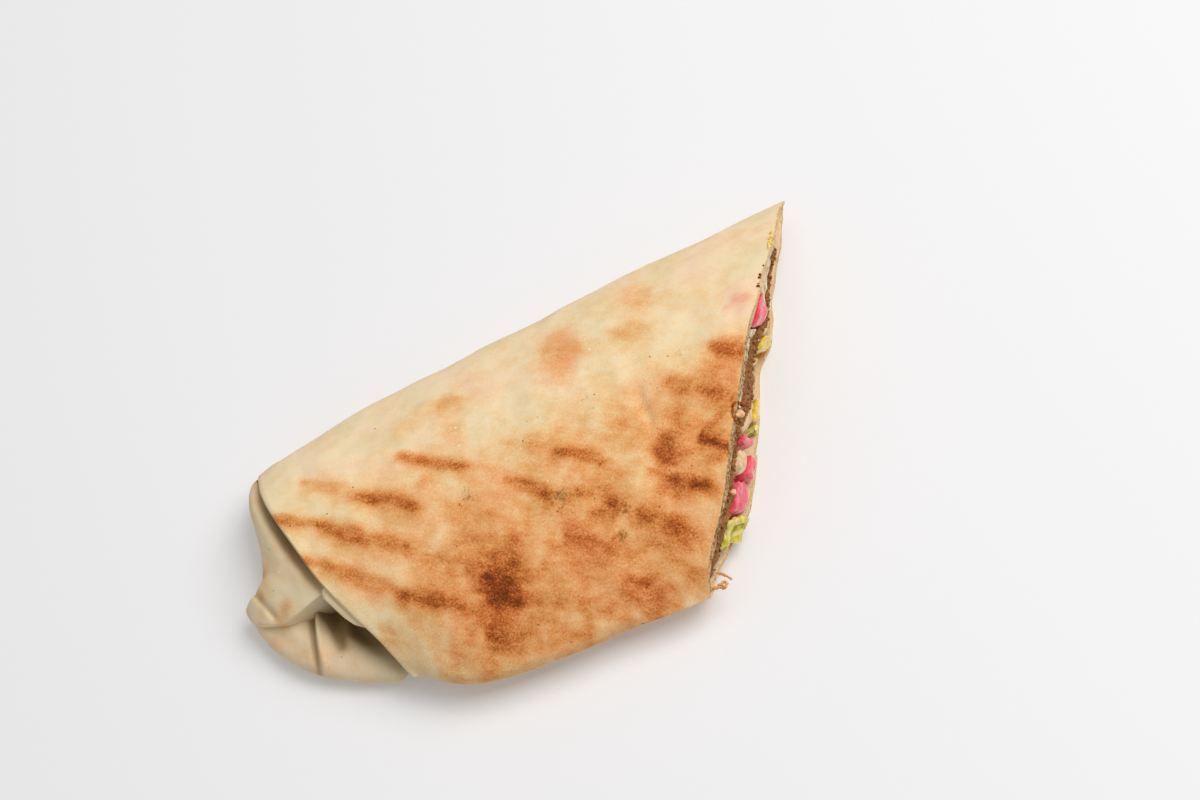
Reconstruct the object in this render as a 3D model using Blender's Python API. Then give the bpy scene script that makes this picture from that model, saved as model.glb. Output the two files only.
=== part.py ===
"""One half of a grilled falafel wrap, cut on the slant and lying on its underside.

A single thin flatbread is rolled round the filling for almost two turns. Its rim shows as a slanting edge over
the folded end at -X, and its loose end lies under the roll. The slanting cut at +X shows the filling: a band of
falafel that runs the length of the wrap, with tahini sauce above it and pickles, cabbage and lettuce below.

The frame is in metres: X runs along the roll towards the cut, Y across it, Z up, with the origin in the middle of
the underside. Lengths are written in millimetres times MM.
"""

import math

import bmesh
import bpy
import numpy as np

MM = 0.001
DEGREE = math.pi / 180

# The roll, seen from above: (x, y) in millimetres along its two side folds
FAR_EDGE = ((-70, 28.3), (-62, 32.0), (-52, 34.5), (-40, 36.3), (-21, 38.0), (2, 39.6), (41, 41.7), (80, 43.0))
NEAR_EDGE = (
    (-70, -16.5), (-62, -22.3), (-53.5, -26.9), (-45.6, -30.9), (-37, -37.8), (-31.5, -40.5), (-24, -42.4),
    (-13, -43.2), (20, -43.1), (80, -43.0),
)

# The roll, seen from its end
THICKNESS = 25 * MM
THICKNESS_AT_FOLD = 23.5 * MM
FADE_LENGTH = 62 * MM           # the roll thins towards the fold from its middle on
SIDE_HEIGHT = 9 * MM            # height of the two side folds above the table
TOP_FULLNESS = 1.65             # 1 is round, 2 is a pointed lens
BOTTOM_FULLNESS = 1.5
BOTTOM_PRESS = 1.25             # over 1 flattens the underside against the table
SAG = 0.7 * MM                  # uneven top, where the filling shows through

# The flatbread
BREAD = 1.3 * MM
LAYER_GAP = 0.25 * MM
LAYER = BREAD + LAYER_GAP
SEAM_ANGLE = 255 * DEGREE       # loose end; 0 is the far side, 90 the top, 270 the underside
RAMP_END_ANGLE = -104 * DEGREE  # the flatbread has climbed over its own loose end here
RAMP_START_ANGLE = -84 * DEGREE
INNER_END_ANGLE = -398 * DEGREE
ANGLE_STEPS = 58
LENGTH_STEPS = 17

# The rim of the flatbread at the folded end: (angle in degrees, x in mm) from the far side over to the near side
RIM = (
    (0, -63.4), (22, -63.3), (51, -62.4), (74, -60.7), (94, -58.3), (110, -55.9), (127, -52.1), (144, -48.3),
    (160, -46.2), (180, -45.0),
)
SEAM_CORNER_X = 10 * MM         # where the rim has turned into the seam on the underside
# The same on the underside, where the flatbread runs on into the folded end
UNDER_RIM = ((-180, -42.0), (-130, -44.5), (-104, -51.5), (-75, -56.0), (-45, -60.0), (-20, -62.6), (0, -63.4))
INNER_RIM_BACK = 3 * MM         # the inner turn ends this far behind the rim,
INNER_LIP = 2.7 * MM            # but for a lip that shows past it
INNER_LIP_ANGLES = (109, 118, 133, 145)

# The slanting cut: a line between the two side folds, seen from above
CUT_NEAR = (24.0 * MM, -42.6 * MM)
CUT_FAR = (75.9 * MM, 42.6 * MM)
CUT_BULGE = 1.5 * MM            # the middle of the cut stands proud of that line
# The knife wandered: how far the cut stands out along its upper and its lower edge, in mm, from -1 at the near fold
# to 1 at the far fold
CUT_HEAD = (
    (-1, 0), (-0.9, -1.2), (-0.75, -0.3), (-0.3, 0.1), (0.04, 0.0), (0.15, -0.4), (0.3, 0.3), (0.45, 0.3),
    (0.6, 1.0), (0.8, 1.2), (0.93, 0.2), (1, 0),
)
CUT_FOOT = (
    (-1, 0), (-0.9, -1.0), (-0.75, 0.2), (-0.56, 2.7), (-0.45, 2.5), (-0.3, 1.6), (-0.13, 0.9), (-0.02, -0.2),
    (0.08, -0.9), (0.18, -2.0), (0.32, 0.1), (0.41, -0.3), (0.6, -1.6), (0.8, -0.7), (1, 0),
)

# The folded end: the lower lobe is folded up from below, as a rounded bag round this centre
BAG_CENTRE = (-53 * MM, 1 * MM)
BAG_OUTLINE = (                 # (x, y) in mm, anticlockwise from +X
    (-38, 1), (-41, 17), (-50, 26), (-60, 28.5), (-64.6, 22), (-66.3, 14), (-68.6, 8), (-73.4, 4.4), (-75.9, -1.2),
    (-73.6, -9.2), (-69.6, -15.4), (-65.9, -19.3), (-62, -22.1), (-58.1, -24.5), (-53.3, -26.9), (-47, -28.6),
    (-41, -20),
)
BAG_SIDE = 4.2 * MM             # height of its widest part
BAG_HEIGHT = 10.6 * MM
BAG_PLEAT = ((-61.8 * MM, -7.0 * MM), (-65.1 * MM, -19.5 * MM))
BAG_PLEAT_DEPTH = 2.0 * MM
BAG_PLEAT_WIDTH = 1.1 * MM
BAG_RIDGE = 1.0 * MM            # the bag swells again beside the pleat
BAG_HOLLOW = ((-33, 0), (-28, 0.6), (-22, 3.6), (-16, 5.2), (-10, 5.4), (-6, 3.0), (0, 1.0), (34, 1.0))
BAG_HOLLOW_WIDTH = 4.2 * MM     # it dips that deep (y and depth in mm) under the rim, fading out that far from it
BAG_AROUND = 50
BAG_RINGS = 8

# The upper lobe, folded down over it: its edge from the far side round the tip and back under the rim
LOBE_EDGE = (                   # (share of the edge, x, y, z), the last three in mm
    (0.00, -60.5, 31.0, 9.6), (0.08, -64.6, 29.2, 9.8), (0.16, -66.7, 24.6, 10.0), (0.26, -67.2, 17.5, 10.0),
    (0.34, -67.9, 11.5, 9.4), (0.42, -70.4, 5.0, 8.2), (0.48, -73.4, 3.2, 7.0), (0.53, -75.9, 2.0, 6.2),
    (0.57, -75.6, -1.0, 6.6), (0.64, -73.4, -4.3, 8.4), (0.71, -70.6, -6.1, 10.0), (0.80, -66.8, -7.9, 12.0),
    (0.88, -63.2, -8.2, 14.0), (0.95, -59.0, -7.9, 16.2), (1.00, -55.0, -7.7, 18.2),
)
LOBE_ROOT = ((0.0, -53.0, 26.0), (0.3, -52.5, 14.0), (0.6, -50.5, 2.0), (1.0, -48.0, -6.5))
LOBE_EDGE_HALF = 0.8 * MM       # half its thickness along the edge
LOBE_FLOOR = 3 * MM             # its underside, sunk in the bag
LOBE_ROUND = ((0.0, 2.3), (0.3, 2.2), (0.45, 1.35), (0.6, 1.15), (1.0, 1.1))
LOBE_STEPS = (34, 9)
END_FLOOR_GAP = 0.35 * MM

# The filling, placed by its share across the hollow: -1 near, 1 far
AIR = 0.35 * MM                 # between pieces that touch
CAVITY = 2 * BREAD + LAYER_GAP + AIR
FILLING_START = -35 * MM
FALAFEL_MIDDLE = (              # (share, height in mm) of the middle of the falafel
    (-1, 9.4), (-0.9, 10.2), (-0.78, 12.8), (-0.67, 14.3), (-0.58, 15.6), (-0.5, 17.4), (-0.38, 18.6),
    (-0.27, 17.9), (-0.15, 16.0), (-0.05, 14.4), (0.08, 13.2), (0.2, 12.9), (0.3, 11.9), (0.4, 9.8), (0.55, 9.9),
    (0.75, 10.4), (1, 9.6),
)
FALAFEL_HALF = (                # and half its thickness
    (-1, 0.8), (-0.9, 2.2), (-0.78, 2.4), (-0.67, 2.6), (-0.58, 3.0), (-0.5, 1.9), (-0.38, 1.8), (-0.27, 1.9),
    (-0.15, 3.2), (-0.05, 4.8), (0.08, 4.8), (0.2, 3.5), (0.3, 1.8), (0.4, 1.3), (0.55, 1.3), (0.75, 1.0), (1, 0.6),
)
FALAFEL_REACH = (-0.95, 0.8)    # how far across the falafel spreads
FALAFEL_LENGTH = 36 * MM        # one pressed falafel, three in a row
FALAFEL_LUMP = 0.10
CRAG = 0.45 * MM                # crumbs of the cut face
STICK_ROUND = 0.3               # how far the corners of a stick are rounded
LEAF_THICKNESS = 0.9 * MM
LEAF_WAVE = 0.2 * MM
LEAF_RAGGED = 0.7 * MM
LEAF_LEAN = 0.7                 # a leaf stands out less at its top, by this share

FOOTPRINT_MIDDLE = (0.057 * MM, -0.289 * MM)

BREAD_COLOUR = (0.80, 0.60, 0.36)
FALAFEL_COLOUR = (0.26, 0.13, 0.05)
SAUCE_COLOUR = (0.72, 0.62, 0.42)
TURNIP_COLOUR = (0.80, 0.08, 0.20)
PEPPER_COLOUR = (0.80, 0.70, 0.10)
CABBAGE_COLOUR = (0.85, 0.78, 0.55)
LETTUCE_COLOUR = (0.55, 0.65, 0.12)


def clear_scene():
    for thing in list(bpy.data.objects):
        bpy.data.objects.remove(thing, do_unlink=True)


def ease(t):
    """0 below 0, 1 above 1, with a smooth step between."""
    t = np.clip(t, 0.0, 1.0)
    return t * t * (3 - 2 * t)


def smooth_line(points, t):
    """Reads a smooth curve that passes through points, each (place, value), at place t."""
    places = np.array([p[0] for p in points], float)
    values = np.array([p[1] for p in points], float)
    slopes = np.gradient(values, places)
    t = np.clip(t, places[0], places[-1])
    left = np.clip(np.searchsorted(places, t, side="right") - 1, 0, len(places) - 2)
    width = places[left + 1] - places[left]
    s = (t - places[left]) / width
    rise = values[left] * (1 + 2 * s) * (1 - s) ** 2 + values[left + 1] * s * s * (3 - 2 * s)
    return rise + width * (slopes[left] * s * (1 - s) ** 2 - slopes[left + 1] * s * s * (1 - s))


# The roll's own form


def near_edge(x):
    return smooth_line(NEAR_EDGE, x / MM) * MM


def far_edge(x):
    return smooth_line(FAR_EDGE, x / MM) * MM


def top_height(x, across):
    """Height of the roll along its crown, a little uneven over the filling."""
    rise = ease(1 + x / FADE_LENGTH)
    waves = np.sin(x / (11 * MM) + 1.3) * np.cos(2.1 * across) + 0.6 * np.sin(x / (6.5 * MM) - 2.4 * across)
    return THICKNESS_AT_FOLD + (THICKNESS - THICKNESS_AT_FOLD) * rise + SAG * 0.5 * (waves - 1)


def roll_point(angle, x, inset):
    """A point of the roll's cross-section at x, inset from its outer face by that many metres."""
    near, far = near_edge(x), far_edge(x)
    half = (far - near) / 2 - inset
    across = math.cos(angle)
    up = math.sin(angle)
    y = (near + far) / 2 + half * across
    if up >= 0:
        z = SIDE_HEIGHT + (top_height(x, across) - SIDE_HEIGHT - inset) * up**TOP_FULLNESS
    else:
        press = min(1.0, BOTTOM_PRESS * (-up) ** BOTTOM_FULLNESS)
        z = SIDE_HEIGHT - (SIDE_HEIGHT - inset) * press
    return np.array([x, y, z])


def roll_height(x, y, inset):
    """(lowest, highest) z inside the roll at x and y, inset from its outer face."""
    near, far = near_edge(x), far_edge(x)
    half = (far - near) / 2 - inset
    across = np.clip((y - (near + far) / 2) / half, -1.0, 1.0)
    up = math.sqrt(1 - across * across)
    press = min(1.0, BOTTOM_PRESS * up**BOTTOM_FULLNESS)
    low = SIDE_HEIGHT - (SIDE_HEIGHT - inset) * press
    return low, SIDE_HEIGHT + (top_height(x, across) - SIDE_HEIGHT - inset) * up**TOP_FULLNESS


def cut_x(y, z):
    """Where the cut lies at this y and z."""
    along = 2 * (y - CUT_NEAR[1]) / (CUT_FAR[1] - CUT_NEAR[1]) - 1
    line = CUT_NEAR[0] + (CUT_FAR[0] - CUT_NEAR[0]) * (along + 1) / 2
    crown = max(0.0, 1 - along * along)
    height = np.clip(z / THICKNESS, 0, 1)
    foot, head = smooth_line(CUT_FOOT, along) * MM, smooth_line(CUT_HEAD, along) * MM
    return line + CUT_BULGE * crown + foot + (head - foot) * height


def cut_point(angle, inset):
    """The point where the line along the roll at this angle and inset meets the cut."""
    x = (CUT_NEAR[0] + CUT_FAR[0]) / 2
    for _ in range(10):
        point = roll_point(angle, x, inset)
        x = cut_x(point[1], point[2])
    return x


# Building blocks


def add_object(name, points, faces, material):
    mesh = bpy.data.meshes.new(name)
    mesh.from_pydata([tuple(p) for p in points], [], faces)
    mesh.validate()
    shape = bmesh.new()
    shape.from_mesh(mesh)
    bmesh.ops.recalc_face_normals(shape, faces=shape.faces)
    shape.to_mesh(mesh)
    shape.free()
    mesh.materials.append(material)
    mesh.shade_smooth()
    mesh.set_sharp_from_angle(angle=45 * DEGREE)
    thing = bpy.data.objects.new(name, mesh)
    bpy.context.scene.collection.objects.link(thing)
    return thing


def block(name, counts, place, material):
    """A closed solid with the topology of a box: place(i, j, k) puts each point of its surface lattice."""
    across, along, deep = counts
    index, points = {}, []

    def corner(i, j, k):
        if (i, j, k) not in index:
            index[i, j, k] = len(points)
            points.append(place(i / across, j / along, k / deep))
        return index[i, j, k]

    faces = []

    def split(a, b, c, d):
        faces.append([a, b, c])
        faces.append([a, c, d])

    for i in range(across):
        for j in range(along):
            for k in (0, deep):
                split(corner(i, j, k), corner(i + 1, j, k), corner(i + 1, j + 1, k), corner(i, j + 1, k))
    for i in range(across):
        for k in range(deep):
            for j in (0, along):
                split(corner(i, j, k), corner(i + 1, j, k), corner(i + 1, j, k + 1), corner(i, j, k + 1))
    for j in range(along):
        for k in range(deep):
            for i in (0, across):
                split(corner(i, j, k), corner(i, j + 1, k), corner(i, j + 1, k + 1), corner(i, j, k + 1))
    return add_object(name, points, faces, material)


def plain_material(name, colour, roughness):
    material = bpy.data.materials.new(name)
    material.use_nodes = True
    surface = material.node_tree.nodes["Principled BSDF"]
    surface.inputs["Base Color"].default_value = (*colour, 1)
    surface.inputs["Roughness"].default_value = roughness
    surface.inputs["Metallic"].default_value = 0
    return material


# The flatbread


def rim_x(angle):
    """Where the flatbread begins at the folded end, for each place round the roll."""
    if angle >= 0:
        under = max(0.0, angle - math.pi) / (SEAM_ANGLE - math.pi)
        turn = 1 - math.sqrt(1 - min(1.0, under) ** 2)
        return smooth_line(RIM, angle / DEGREE) * MM + (SEAM_CORNER_X - RIM[-1][1] * MM) * turn
    if angle > -math.pi:
        return smooth_line(UNDER_RIM, angle / DEGREE) * MM
    degrees = (angle / DEGREE) % 360
    first, full, last, none = INNER_LIP_ANGLES
    lip = ease((degrees - first) / (full - first)) * ease((none - degrees) / (none - last))
    return smooth_line(RIM, degrees) * MM + INNER_RIM_BACK - (INNER_RIM_BACK + INNER_LIP) * lip


def layer_inset(angle):
    """How deep the flatbread's outer face lies: 0 on the outer turn, one layer on the inner turn."""
    return LAYER * ease((RAMP_START_ANGLE - angle) / (RAMP_START_ANGLE - RAMP_END_ANGLE))


def make_roll(material):
    def place(i, j, k):
        angle = SEAM_ANGLE + (INNER_END_ANGLE - SEAM_ANGLE) * i
        inset = layer_inset(angle) + BREAD * k
        start, end = rim_x(angle), cut_point(angle, inset)
        return roll_point(angle, start + (end - start) * j, inset)

    return block("flatbread", (ANGLE_STEPS, LENGTH_STEPS, 1), place, material)


def pleat_height(x, y):
    """The pleat in the bag: a valley along a line, with a swelling on its +X side."""
    (x0, y0), (x1, y1) = BAG_PLEAT
    length = math.hypot(x1 - x0, y1 - y0)
    along = ((x - x0) * (x1 - x0) + (y - y0) * (y1 - y0)) / length**2
    aside = ((y - y0) * (x1 - x0) - (x - x0) * (y1 - y0)) / length
    fade = ease((along + 0.5) / 0.6) * ease((1.25 - along) / 0.4)
    valley = math.exp(-((aside / BAG_PLEAT_WIDTH) ** 2))
    swell = math.exp(-(((aside - 1.9 * BAG_PLEAT_WIDTH) / BAG_PLEAT_WIDTH) ** 2))
    return (BAG_RIDGE * swell - BAG_PLEAT_DEPTH * valley) * fade


def under_rim(x, y):
    """How far the bag dips where the rim overhangs it."""
    near, far = near_edge(x), far_edge(x)
    across = (y - (near + far) / 2) / ((far - near) / 2)
    gap = rim_x(math.acos(max(-1.0, min(1.0, across)))) - x
    return smooth_line(BAG_HOLLOW, y / MM) * MM * math.exp(-((gap / BAG_HOLLOW_WIDTH) ** 2))


def make_bag(material):
    """The lower lobe: a pad that is rounded all the way round its side."""
    ring_points = [(k / len(BAG_OUTLINE), x, y) for k, (x, y) in enumerate(BAG_OUTLINE)]
    ring_points = [(s - 1, x, y) for s, x, y in ring_points[-3:]] + ring_points
    ring_points += [(s + 1, x, y) for s, x, y in ring_points[3:6]]
    outline_x = [(s, x) for s, x, y in ring_points]
    outline_y = [(s, y) for s, x, y in ring_points]

    def place(turn, share, top):
        edge_x = smooth_line(outline_x, turn) * MM
        edge_y = smooth_line(outline_y, turn) * MM
        x = BAG_CENTRE[0] + (edge_x - BAG_CENTRE[0]) * share
        y = BAG_CENTRE[1] + (edge_y - BAG_CENTRE[1]) * share
        if top:
            rise = BAG_HEIGHT - BAG_SIDE + pleat_height(x, y) - under_rim(x, y)
            z = BAG_SIDE + rise * (1 - share**3.2) ** 0.5
        else:
            lift = (LAYER + BREAD / 2) * ease((x + 52 * MM) / (6 * MM))
            z = BAG_SIDE - (BAG_SIDE - END_FLOOR_GAP - lift) * (1 - share**5) ** 0.5
        return x, y, z

    return pad("bag", BAG_AROUND, BAG_RINGS, place, material)


def pad(name, around, rings, place, material):
    """A closed cushion: place(turn, share, top) puts each point of its two faces, which meet where share is 1."""
    points, faces = [], []
    edge = []
    for top in (True, False):
        rows = []
        for ring in range(1, rings + 1):
            share = math.sin(ring / rings * math.pi / 2)
            if ring == rings and not top:
                rows.append(edge)
                continue
            rows.append(range(len(points), len(points) + around))
            points += [place(step / around, share, top) for step in range(around)]
        edge = rows[-1]
        hub = len(points)
        points.append(place(0, 0, top))
        for step in range(around):
            after = (step + 1) % around
            faces.append([hub, rows[0][step], rows[0][after]])
            for inner, outer in zip(rows, rows[1:]):
                faces.append([inner[step], outer[step], outer[after], inner[after]])
    return add_object(name, points, faces, material)


def make_upper_lobe(material):
    """A thick flap from inside the roll, down over the bag to the lobe's edge."""
    edge_lines = [[(point[0], point[axis]) for point in LOBE_EDGE] for axis in (1, 2, 3)]
    root_lines = [[(point[0], point[axis]) for point in LOBE_ROOT] for axis in (1, 2)]

    def place(i, j, k):
        edge = [smooth_line(line, i) * MM for line in edge_lines]
        root = [smooth_line(line, i) * MM for line in root_lines]
        reach = math.sin(j * math.pi / 2)
        x = root[0] + (edge[0] - root[0]) * reach
        y = root[1] + (edge[1] - root[1]) * reach
        if k == 0:
            return x, y, LOBE_FLOOR + (edge[2] - LOBE_EDGE_HALF - LOBE_FLOOR) * (1 - (1 - reach**4) ** 0.5)
        roof = roll_height(root[0], root[1], LAYER + 0.4 * BREAD)[1]
        power = smooth_line(LOBE_ROUND, i)
        low = edge[2] + LOBE_EDGE_HALF
        return x, y, low + (roof - low) * (1 - reach ** (power + 0.4)) ** (1 / power)

    return block("upper_lobe", (*LOBE_STEPS, 1), place, material)


def apply_union(thing, pieces):
    """Joins the pieces to thing for good."""
    group = bpy.data.collections.new("folded_end")
    bpy.context.scene.collection.children.link(group)
    for piece in pieces:
        bpy.context.scene.collection.objects.unlink(piece)
        group.objects.link(piece)
    join = thing.modifiers.new("folded end", "BOOLEAN")
    join.operation = "UNION"
    join.solver = "EXACT"
    join.operand_type = "COLLECTION"
    join.collection = group
    bpy.context.view_layer.objects.active = thing
    bpy.ops.object.modifier_apply(modifier=join.name)
    for piece in pieces:
        bpy.data.objects.remove(piece, do_unlink=True)
    bpy.data.collections.remove(group)


def make_flatbread():
    bread = plain_material("flatbread", BREAD_COLOUR, 0.8)
    roll = make_roll(bread)
    apply_union(roll, [make_bag(bread), make_upper_lobe(bread)])


# The filling


def falafel_band(x, share):
    """(lowest, highest) z of the falafel at x and at this share across the hollow."""
    lump = 1 + FALAFEL_LUMP * math.cos(2 * math.pi * (x - 12 * MM) / FALAFEL_LENGTH)
    middle = smooth_line(FALAFEL_MIDDLE, share) * MM
    half = smooth_line(FALAFEL_HALF, share) * MM * lump
    return middle - half, middle + half


def hollow_y(x, share):
    near, far = near_edge(x) + CAVITY, far_edge(x) - CAVITY
    return (near + far) / 2 + (far - near) / 2 * share


def cell_point(limits, start, proud, share, level, along):
    """A point of the filling: share across, level up between its limits, and along from start to the cut."""
    x = start
    for _ in range(5):
        y = hollow_y(x, share)
        low, high = limits(x, share)
        z = low + (high - low) * level
        x = start + (cut_x(y, z) + proud - start) * along
    return x, y, z


def cell_share(floor, roof, across, level):
    """The share at this place across a cell, whose (left, right) are floor at its bottom and roof at its top."""
    left = floor[0] + (roof[0] - floor[0]) * level
    right = floor[1] + (roof[1] - floor[1]) * level
    return left + (right - left) * across


def make_layer(name, counts, floor, roof, limits, start, proud, material):
    """A layer that runs through the wrap; limits(x, share) gives its lowest and highest z."""

    def place(i, j, k):
        share = cell_share(floor, roof, i, k)
        return cell_point(limits, start, proud(share, k), share, k, j)

    return block(name, counts, place, material)


def falafel_limits(x, share):
    low, high = falafel_band(x, share)
    floor, roof = roll_height(x, hollow_y(x, share), CAVITY)
    return max(low, floor), min(high, roof)


def above_falafel(x, share):
    return falafel_band(x, share)[1] + AIR, roll_height(x, hollow_y(x, share), CAVITY)[1]


def below_falafel(x, share):
    return roll_height(x, hollow_y(x, share), CAVITY)[0], falafel_band(x, share)[0] - AIR


def crumble(share, depth):
    """Small crags of a crumbly cut face."""
    return CRAG * (math.sin(23 * share + 5 * depth) + math.sin(41 * share - 7 * depth))


def make_falafel():
    material = plain_material("falafel", FALAFEL_COLOUR, 0.9)
    make_layer(
        "falafel", (28, 9, 2), FALAFEL_REACH, FALAFEL_REACH, falafel_limits, FILLING_START,
        lambda share, depth: crumble(share, depth) - 0.3 * MM, material,
    )


def make_sauce():
    """Tahini sauce over the falafel, on both sides of the upper pickle."""
    material = plain_material("tahini_sauce", SAUCE_COLOUR, 0.5)
    patches = (("tahini_sauce_near", (-0.2, 0.298), (-0.2, 0.223)), ("tahini_sauce_far", (0.43, 0.8), (0.475, 0.8)))
    for name, floor, roof in patches:
        make_layer(
            name, (8, 8, 1), floor, roof, above_falafel, FILLING_START + 4 * MM,
            lambda share, depth: crumble(share, depth) * 0.6 - 0.6 * MM, material,
        )


def make_stick(name, floor, roof, levels, limits, start, proud, material):
    """A stick of vegetable that fills a cell of the hollow: its (left, right) at its foot and head, and its levels."""
    sides, steps = 4, 9

    def place(i, j, k):
        u, w = 2 * i - 1, 2 * k - 1
        across = 0.5 + 0.5 * u * math.sqrt(1 - STICK_ROUND * w * w)
        rise = 0.5 + 0.5 * w * math.sqrt(1 - STICK_ROUND * u * u)
        share = cell_share(floor, roof, across, rise)
        return cell_point(limits, start, proud, share, levels[0] + (levels[1] - levels[0]) * rise, j)

    return block(name, (sides, steps, sides), place, material)


def folded_line(t, width, height, layers):
    """A line folded to and fro in a box that big: its point and its normal at t from 0 to 1."""
    pitch = height / (layers - 1)
    run, bend = width - pitch, math.pi * pitch / 2
    distance = t * (layers * run + (layers - 1) * bend)
    layer = min(layers - 1, int(distance / (run + bend)))
    rest = distance - layer * (run + bend)
    way = 1 if layer % 2 == 0 else -1
    if rest <= run:
        across, level, turn = rest - run / 2, layer * pitch, 0
    else:
        turn = (rest - run) / bend * math.pi
        across = run / 2 + pitch / 2 * math.sin(turn)
        level = layer * pitch + pitch / 2 * (1 - math.cos(turn))
    return (way * across, level), (-math.sin(turn), way * math.cos(turn))


def make_leaf(name, floor, roof, top, layers, start, proud, material):
    """A lettuce leaf, a thin wavy sheet folded to and fro in a cell of the hollow, from its bottom up to top."""
    low, high = below_falafel(CUT_NEAR[0], (sum(floor) + sum(roof)) / 4)
    room = (high - low) * top
    width = (sum(roof) + sum(floor) - 2 * floor[0] - 2 * roof[0]) / 4 * (hollow_y(0, 1) - hollow_y(0, -1))
    run, height = width - LEAF_THICKNESS, room - LEAF_THICKNESS - 2 * LEAF_WAVE

    def place(i, j, k):
        (across, level), normal = folded_line(i, run, height, layers)
        offset = LEAF_THICKNESS * (k - 0.5)
        rise = (level + normal[1] * offset + LEAF_THICKNESS / 2 + LEAF_WAVE) / room
        share = cell_share(floor, roof, 0.5 + (across + normal[0] * offset) / width, rise)
        wave = LEAF_WAVE * math.sin(11 * j + 6 * i + layers)
        ragged = LEAF_RAGGED * math.sin(19 * i + 3)
        reach = proud * (1 - LEAF_LEAN * rise) + ragged
        x, y, z = cell_point(below_falafel, start, reach, share, (rise + wave / room) * top, j)
        return x, y + wave, z

    return block(name, (7 * layers, 8, 1), place, material)


def make_vegetables():
    turnip = plain_material("pickled_turnip", TURNIP_COLOUR, 0.35)
    pepper = plain_material("pickled_pepper", PEPPER_COLOUR, 0.35)
    cabbage = plain_material("cabbage", CABBAGE_COLOUR, 0.4)
    lettuce = plain_material("lettuce", LETTUCE_COLOUR, 0.45)
    above, below = above_falafel, below_falafel
    sticks = (
        ("pickled_turnip_upper", (0.31, 0.41), (0.235, 0.455), (0.0, 1.0), above, 5, 0.5, turnip),
        ("pickled_turnip_middle", (-0.29, -0.25), (-0.34, -0.295), (0.3, 1.0), below, -20, 0.8, turnip),
        ("pickled_turnip_lower", (-0.615, -0.475), (-0.675, -0.52), (0.0, 1.0), below, -10, 0.4, turnip),
        ("pickled_turnip_floor", (-0.462, -0.34), (-0.458, -0.335), (0.08, 0.42), below, -5, 1.2, turnip),
        ("cabbage", (-0.455, -0.33), (-0.505, -0.375), (0.5, 1.0), below, -25, 0.5, cabbage),
        ("cabbage_middle", (-0.232, -0.02), (-0.277, -0.035), (0.64, 1.0), below, -22, -0.2, cabbage),
        ("pickled_pepper_middle", (-0.105, 0.04), (-0.155, -0.01), (0.0, 0.58), below, -28, 0.6, pepper),
        ("pickled_pepper_far", (0.285, 0.37), (0.235, 0.305), (0.0, 1.0), below, -12, 1.0, pepper),
    )
    for name, floor, roof, levels, limits, start, proud, material in sticks:
        make_stick(name, floor, roof, levels, limits, start * MM, proud * MM, material)
    leaves = (
        ("lettuce_near", (-0.83, -0.645), (-0.89, -0.70), 1.0, 2, -18, 2.6),
        ("lettuce_inner", (-0.235, -0.122), (-0.225, -0.172), 0.4, 2, -26, 0.2),
        ("lettuce_middle", (0.06, 0.265), (-0.015, 0.215), 1.0, 2, -24, -0.9),
        ("lettuce_far", (0.39, 0.78), (0.325, 0.80), 1.0, 3, -30, -0.2),
    )
    for name, floor, roof, top, layers, start, proud in leaves:
        make_leaf(name, floor, roof, top, layers, start * MM, proud * MM, lettuce)


def centre_on_footprint():
    for thing in bpy.data.objects:
        thing.location = (-FOOTPRINT_MIDDLE[0], -FOOTPRINT_MIDDLE[1], 0)


def main():
    clear_scene()
    make_flatbread()
    make_falafel()
    make_sauce()
    make_vegetables()
    centre_on_footprint()


main()
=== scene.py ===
"""The looks of one half of a grilled falafel wrap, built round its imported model.

The flatbread, its folded end and every filling are modelled again here at full detail, each in the place
of the solid that it replaces. Lengths are in millimetres times MM. X runs along the wrap towards the cut, Y
across it and Z up.
"""

import math
from functools import partial

import bpy
import numpy as np
from mathutils import Matrix, Vector, noise


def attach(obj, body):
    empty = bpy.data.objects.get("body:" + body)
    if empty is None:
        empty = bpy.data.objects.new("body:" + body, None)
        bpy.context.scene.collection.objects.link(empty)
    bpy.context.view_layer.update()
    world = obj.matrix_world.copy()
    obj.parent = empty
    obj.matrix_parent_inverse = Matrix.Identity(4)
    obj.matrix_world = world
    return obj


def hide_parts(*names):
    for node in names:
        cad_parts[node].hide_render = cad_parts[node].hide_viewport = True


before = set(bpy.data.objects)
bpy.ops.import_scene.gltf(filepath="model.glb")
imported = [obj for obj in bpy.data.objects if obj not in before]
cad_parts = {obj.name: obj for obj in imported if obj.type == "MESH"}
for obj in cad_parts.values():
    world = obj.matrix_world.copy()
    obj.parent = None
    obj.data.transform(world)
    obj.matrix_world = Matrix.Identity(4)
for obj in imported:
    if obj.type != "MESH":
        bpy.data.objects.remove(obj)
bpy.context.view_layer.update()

MM = 0.001
DEGREE = math.pi / 180

# The roll, seen from above: (x, y) in millimetres along its two side folds
FAR_EDGE = (
    (-70, 28.3), (-62, 32.0), (-52, 34.5), (-40, 36.3), (-21, 38.0), (2, 39.6), (41, 41.7), (80, 43.0),
)
NEAR_EDGE = (
    (-70, -16.5), (-62, -22.3), (-53.5, -26.9), (-45.6, -30.9), (-37, -37.8), (-31.5, -40.5), (-24, -42.4),
    (-13, -43.2), (20, -43.1), (80, -43.0),
)

# The roll, seen from its end
THICKNESS = 25 * MM
THICKNESS_AT_FOLD = 23.5 * MM
FADE_LENGTH = 62 * MM           # the roll thins towards the fold over that length
SIDE_HEIGHT = 9 * MM            # the roll is widest at that height
TOP_FULLNESS = 1.65             # the powers that shape the cross-section above and below that height
BOTTOM_FULLNESS = 1.5
BOTTOM_PRESS = 1.25             # over 1, so that the grill has pressed the underside flat
SAG = 0.7 * MM                  # how deep the slow waves in the top are

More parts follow.
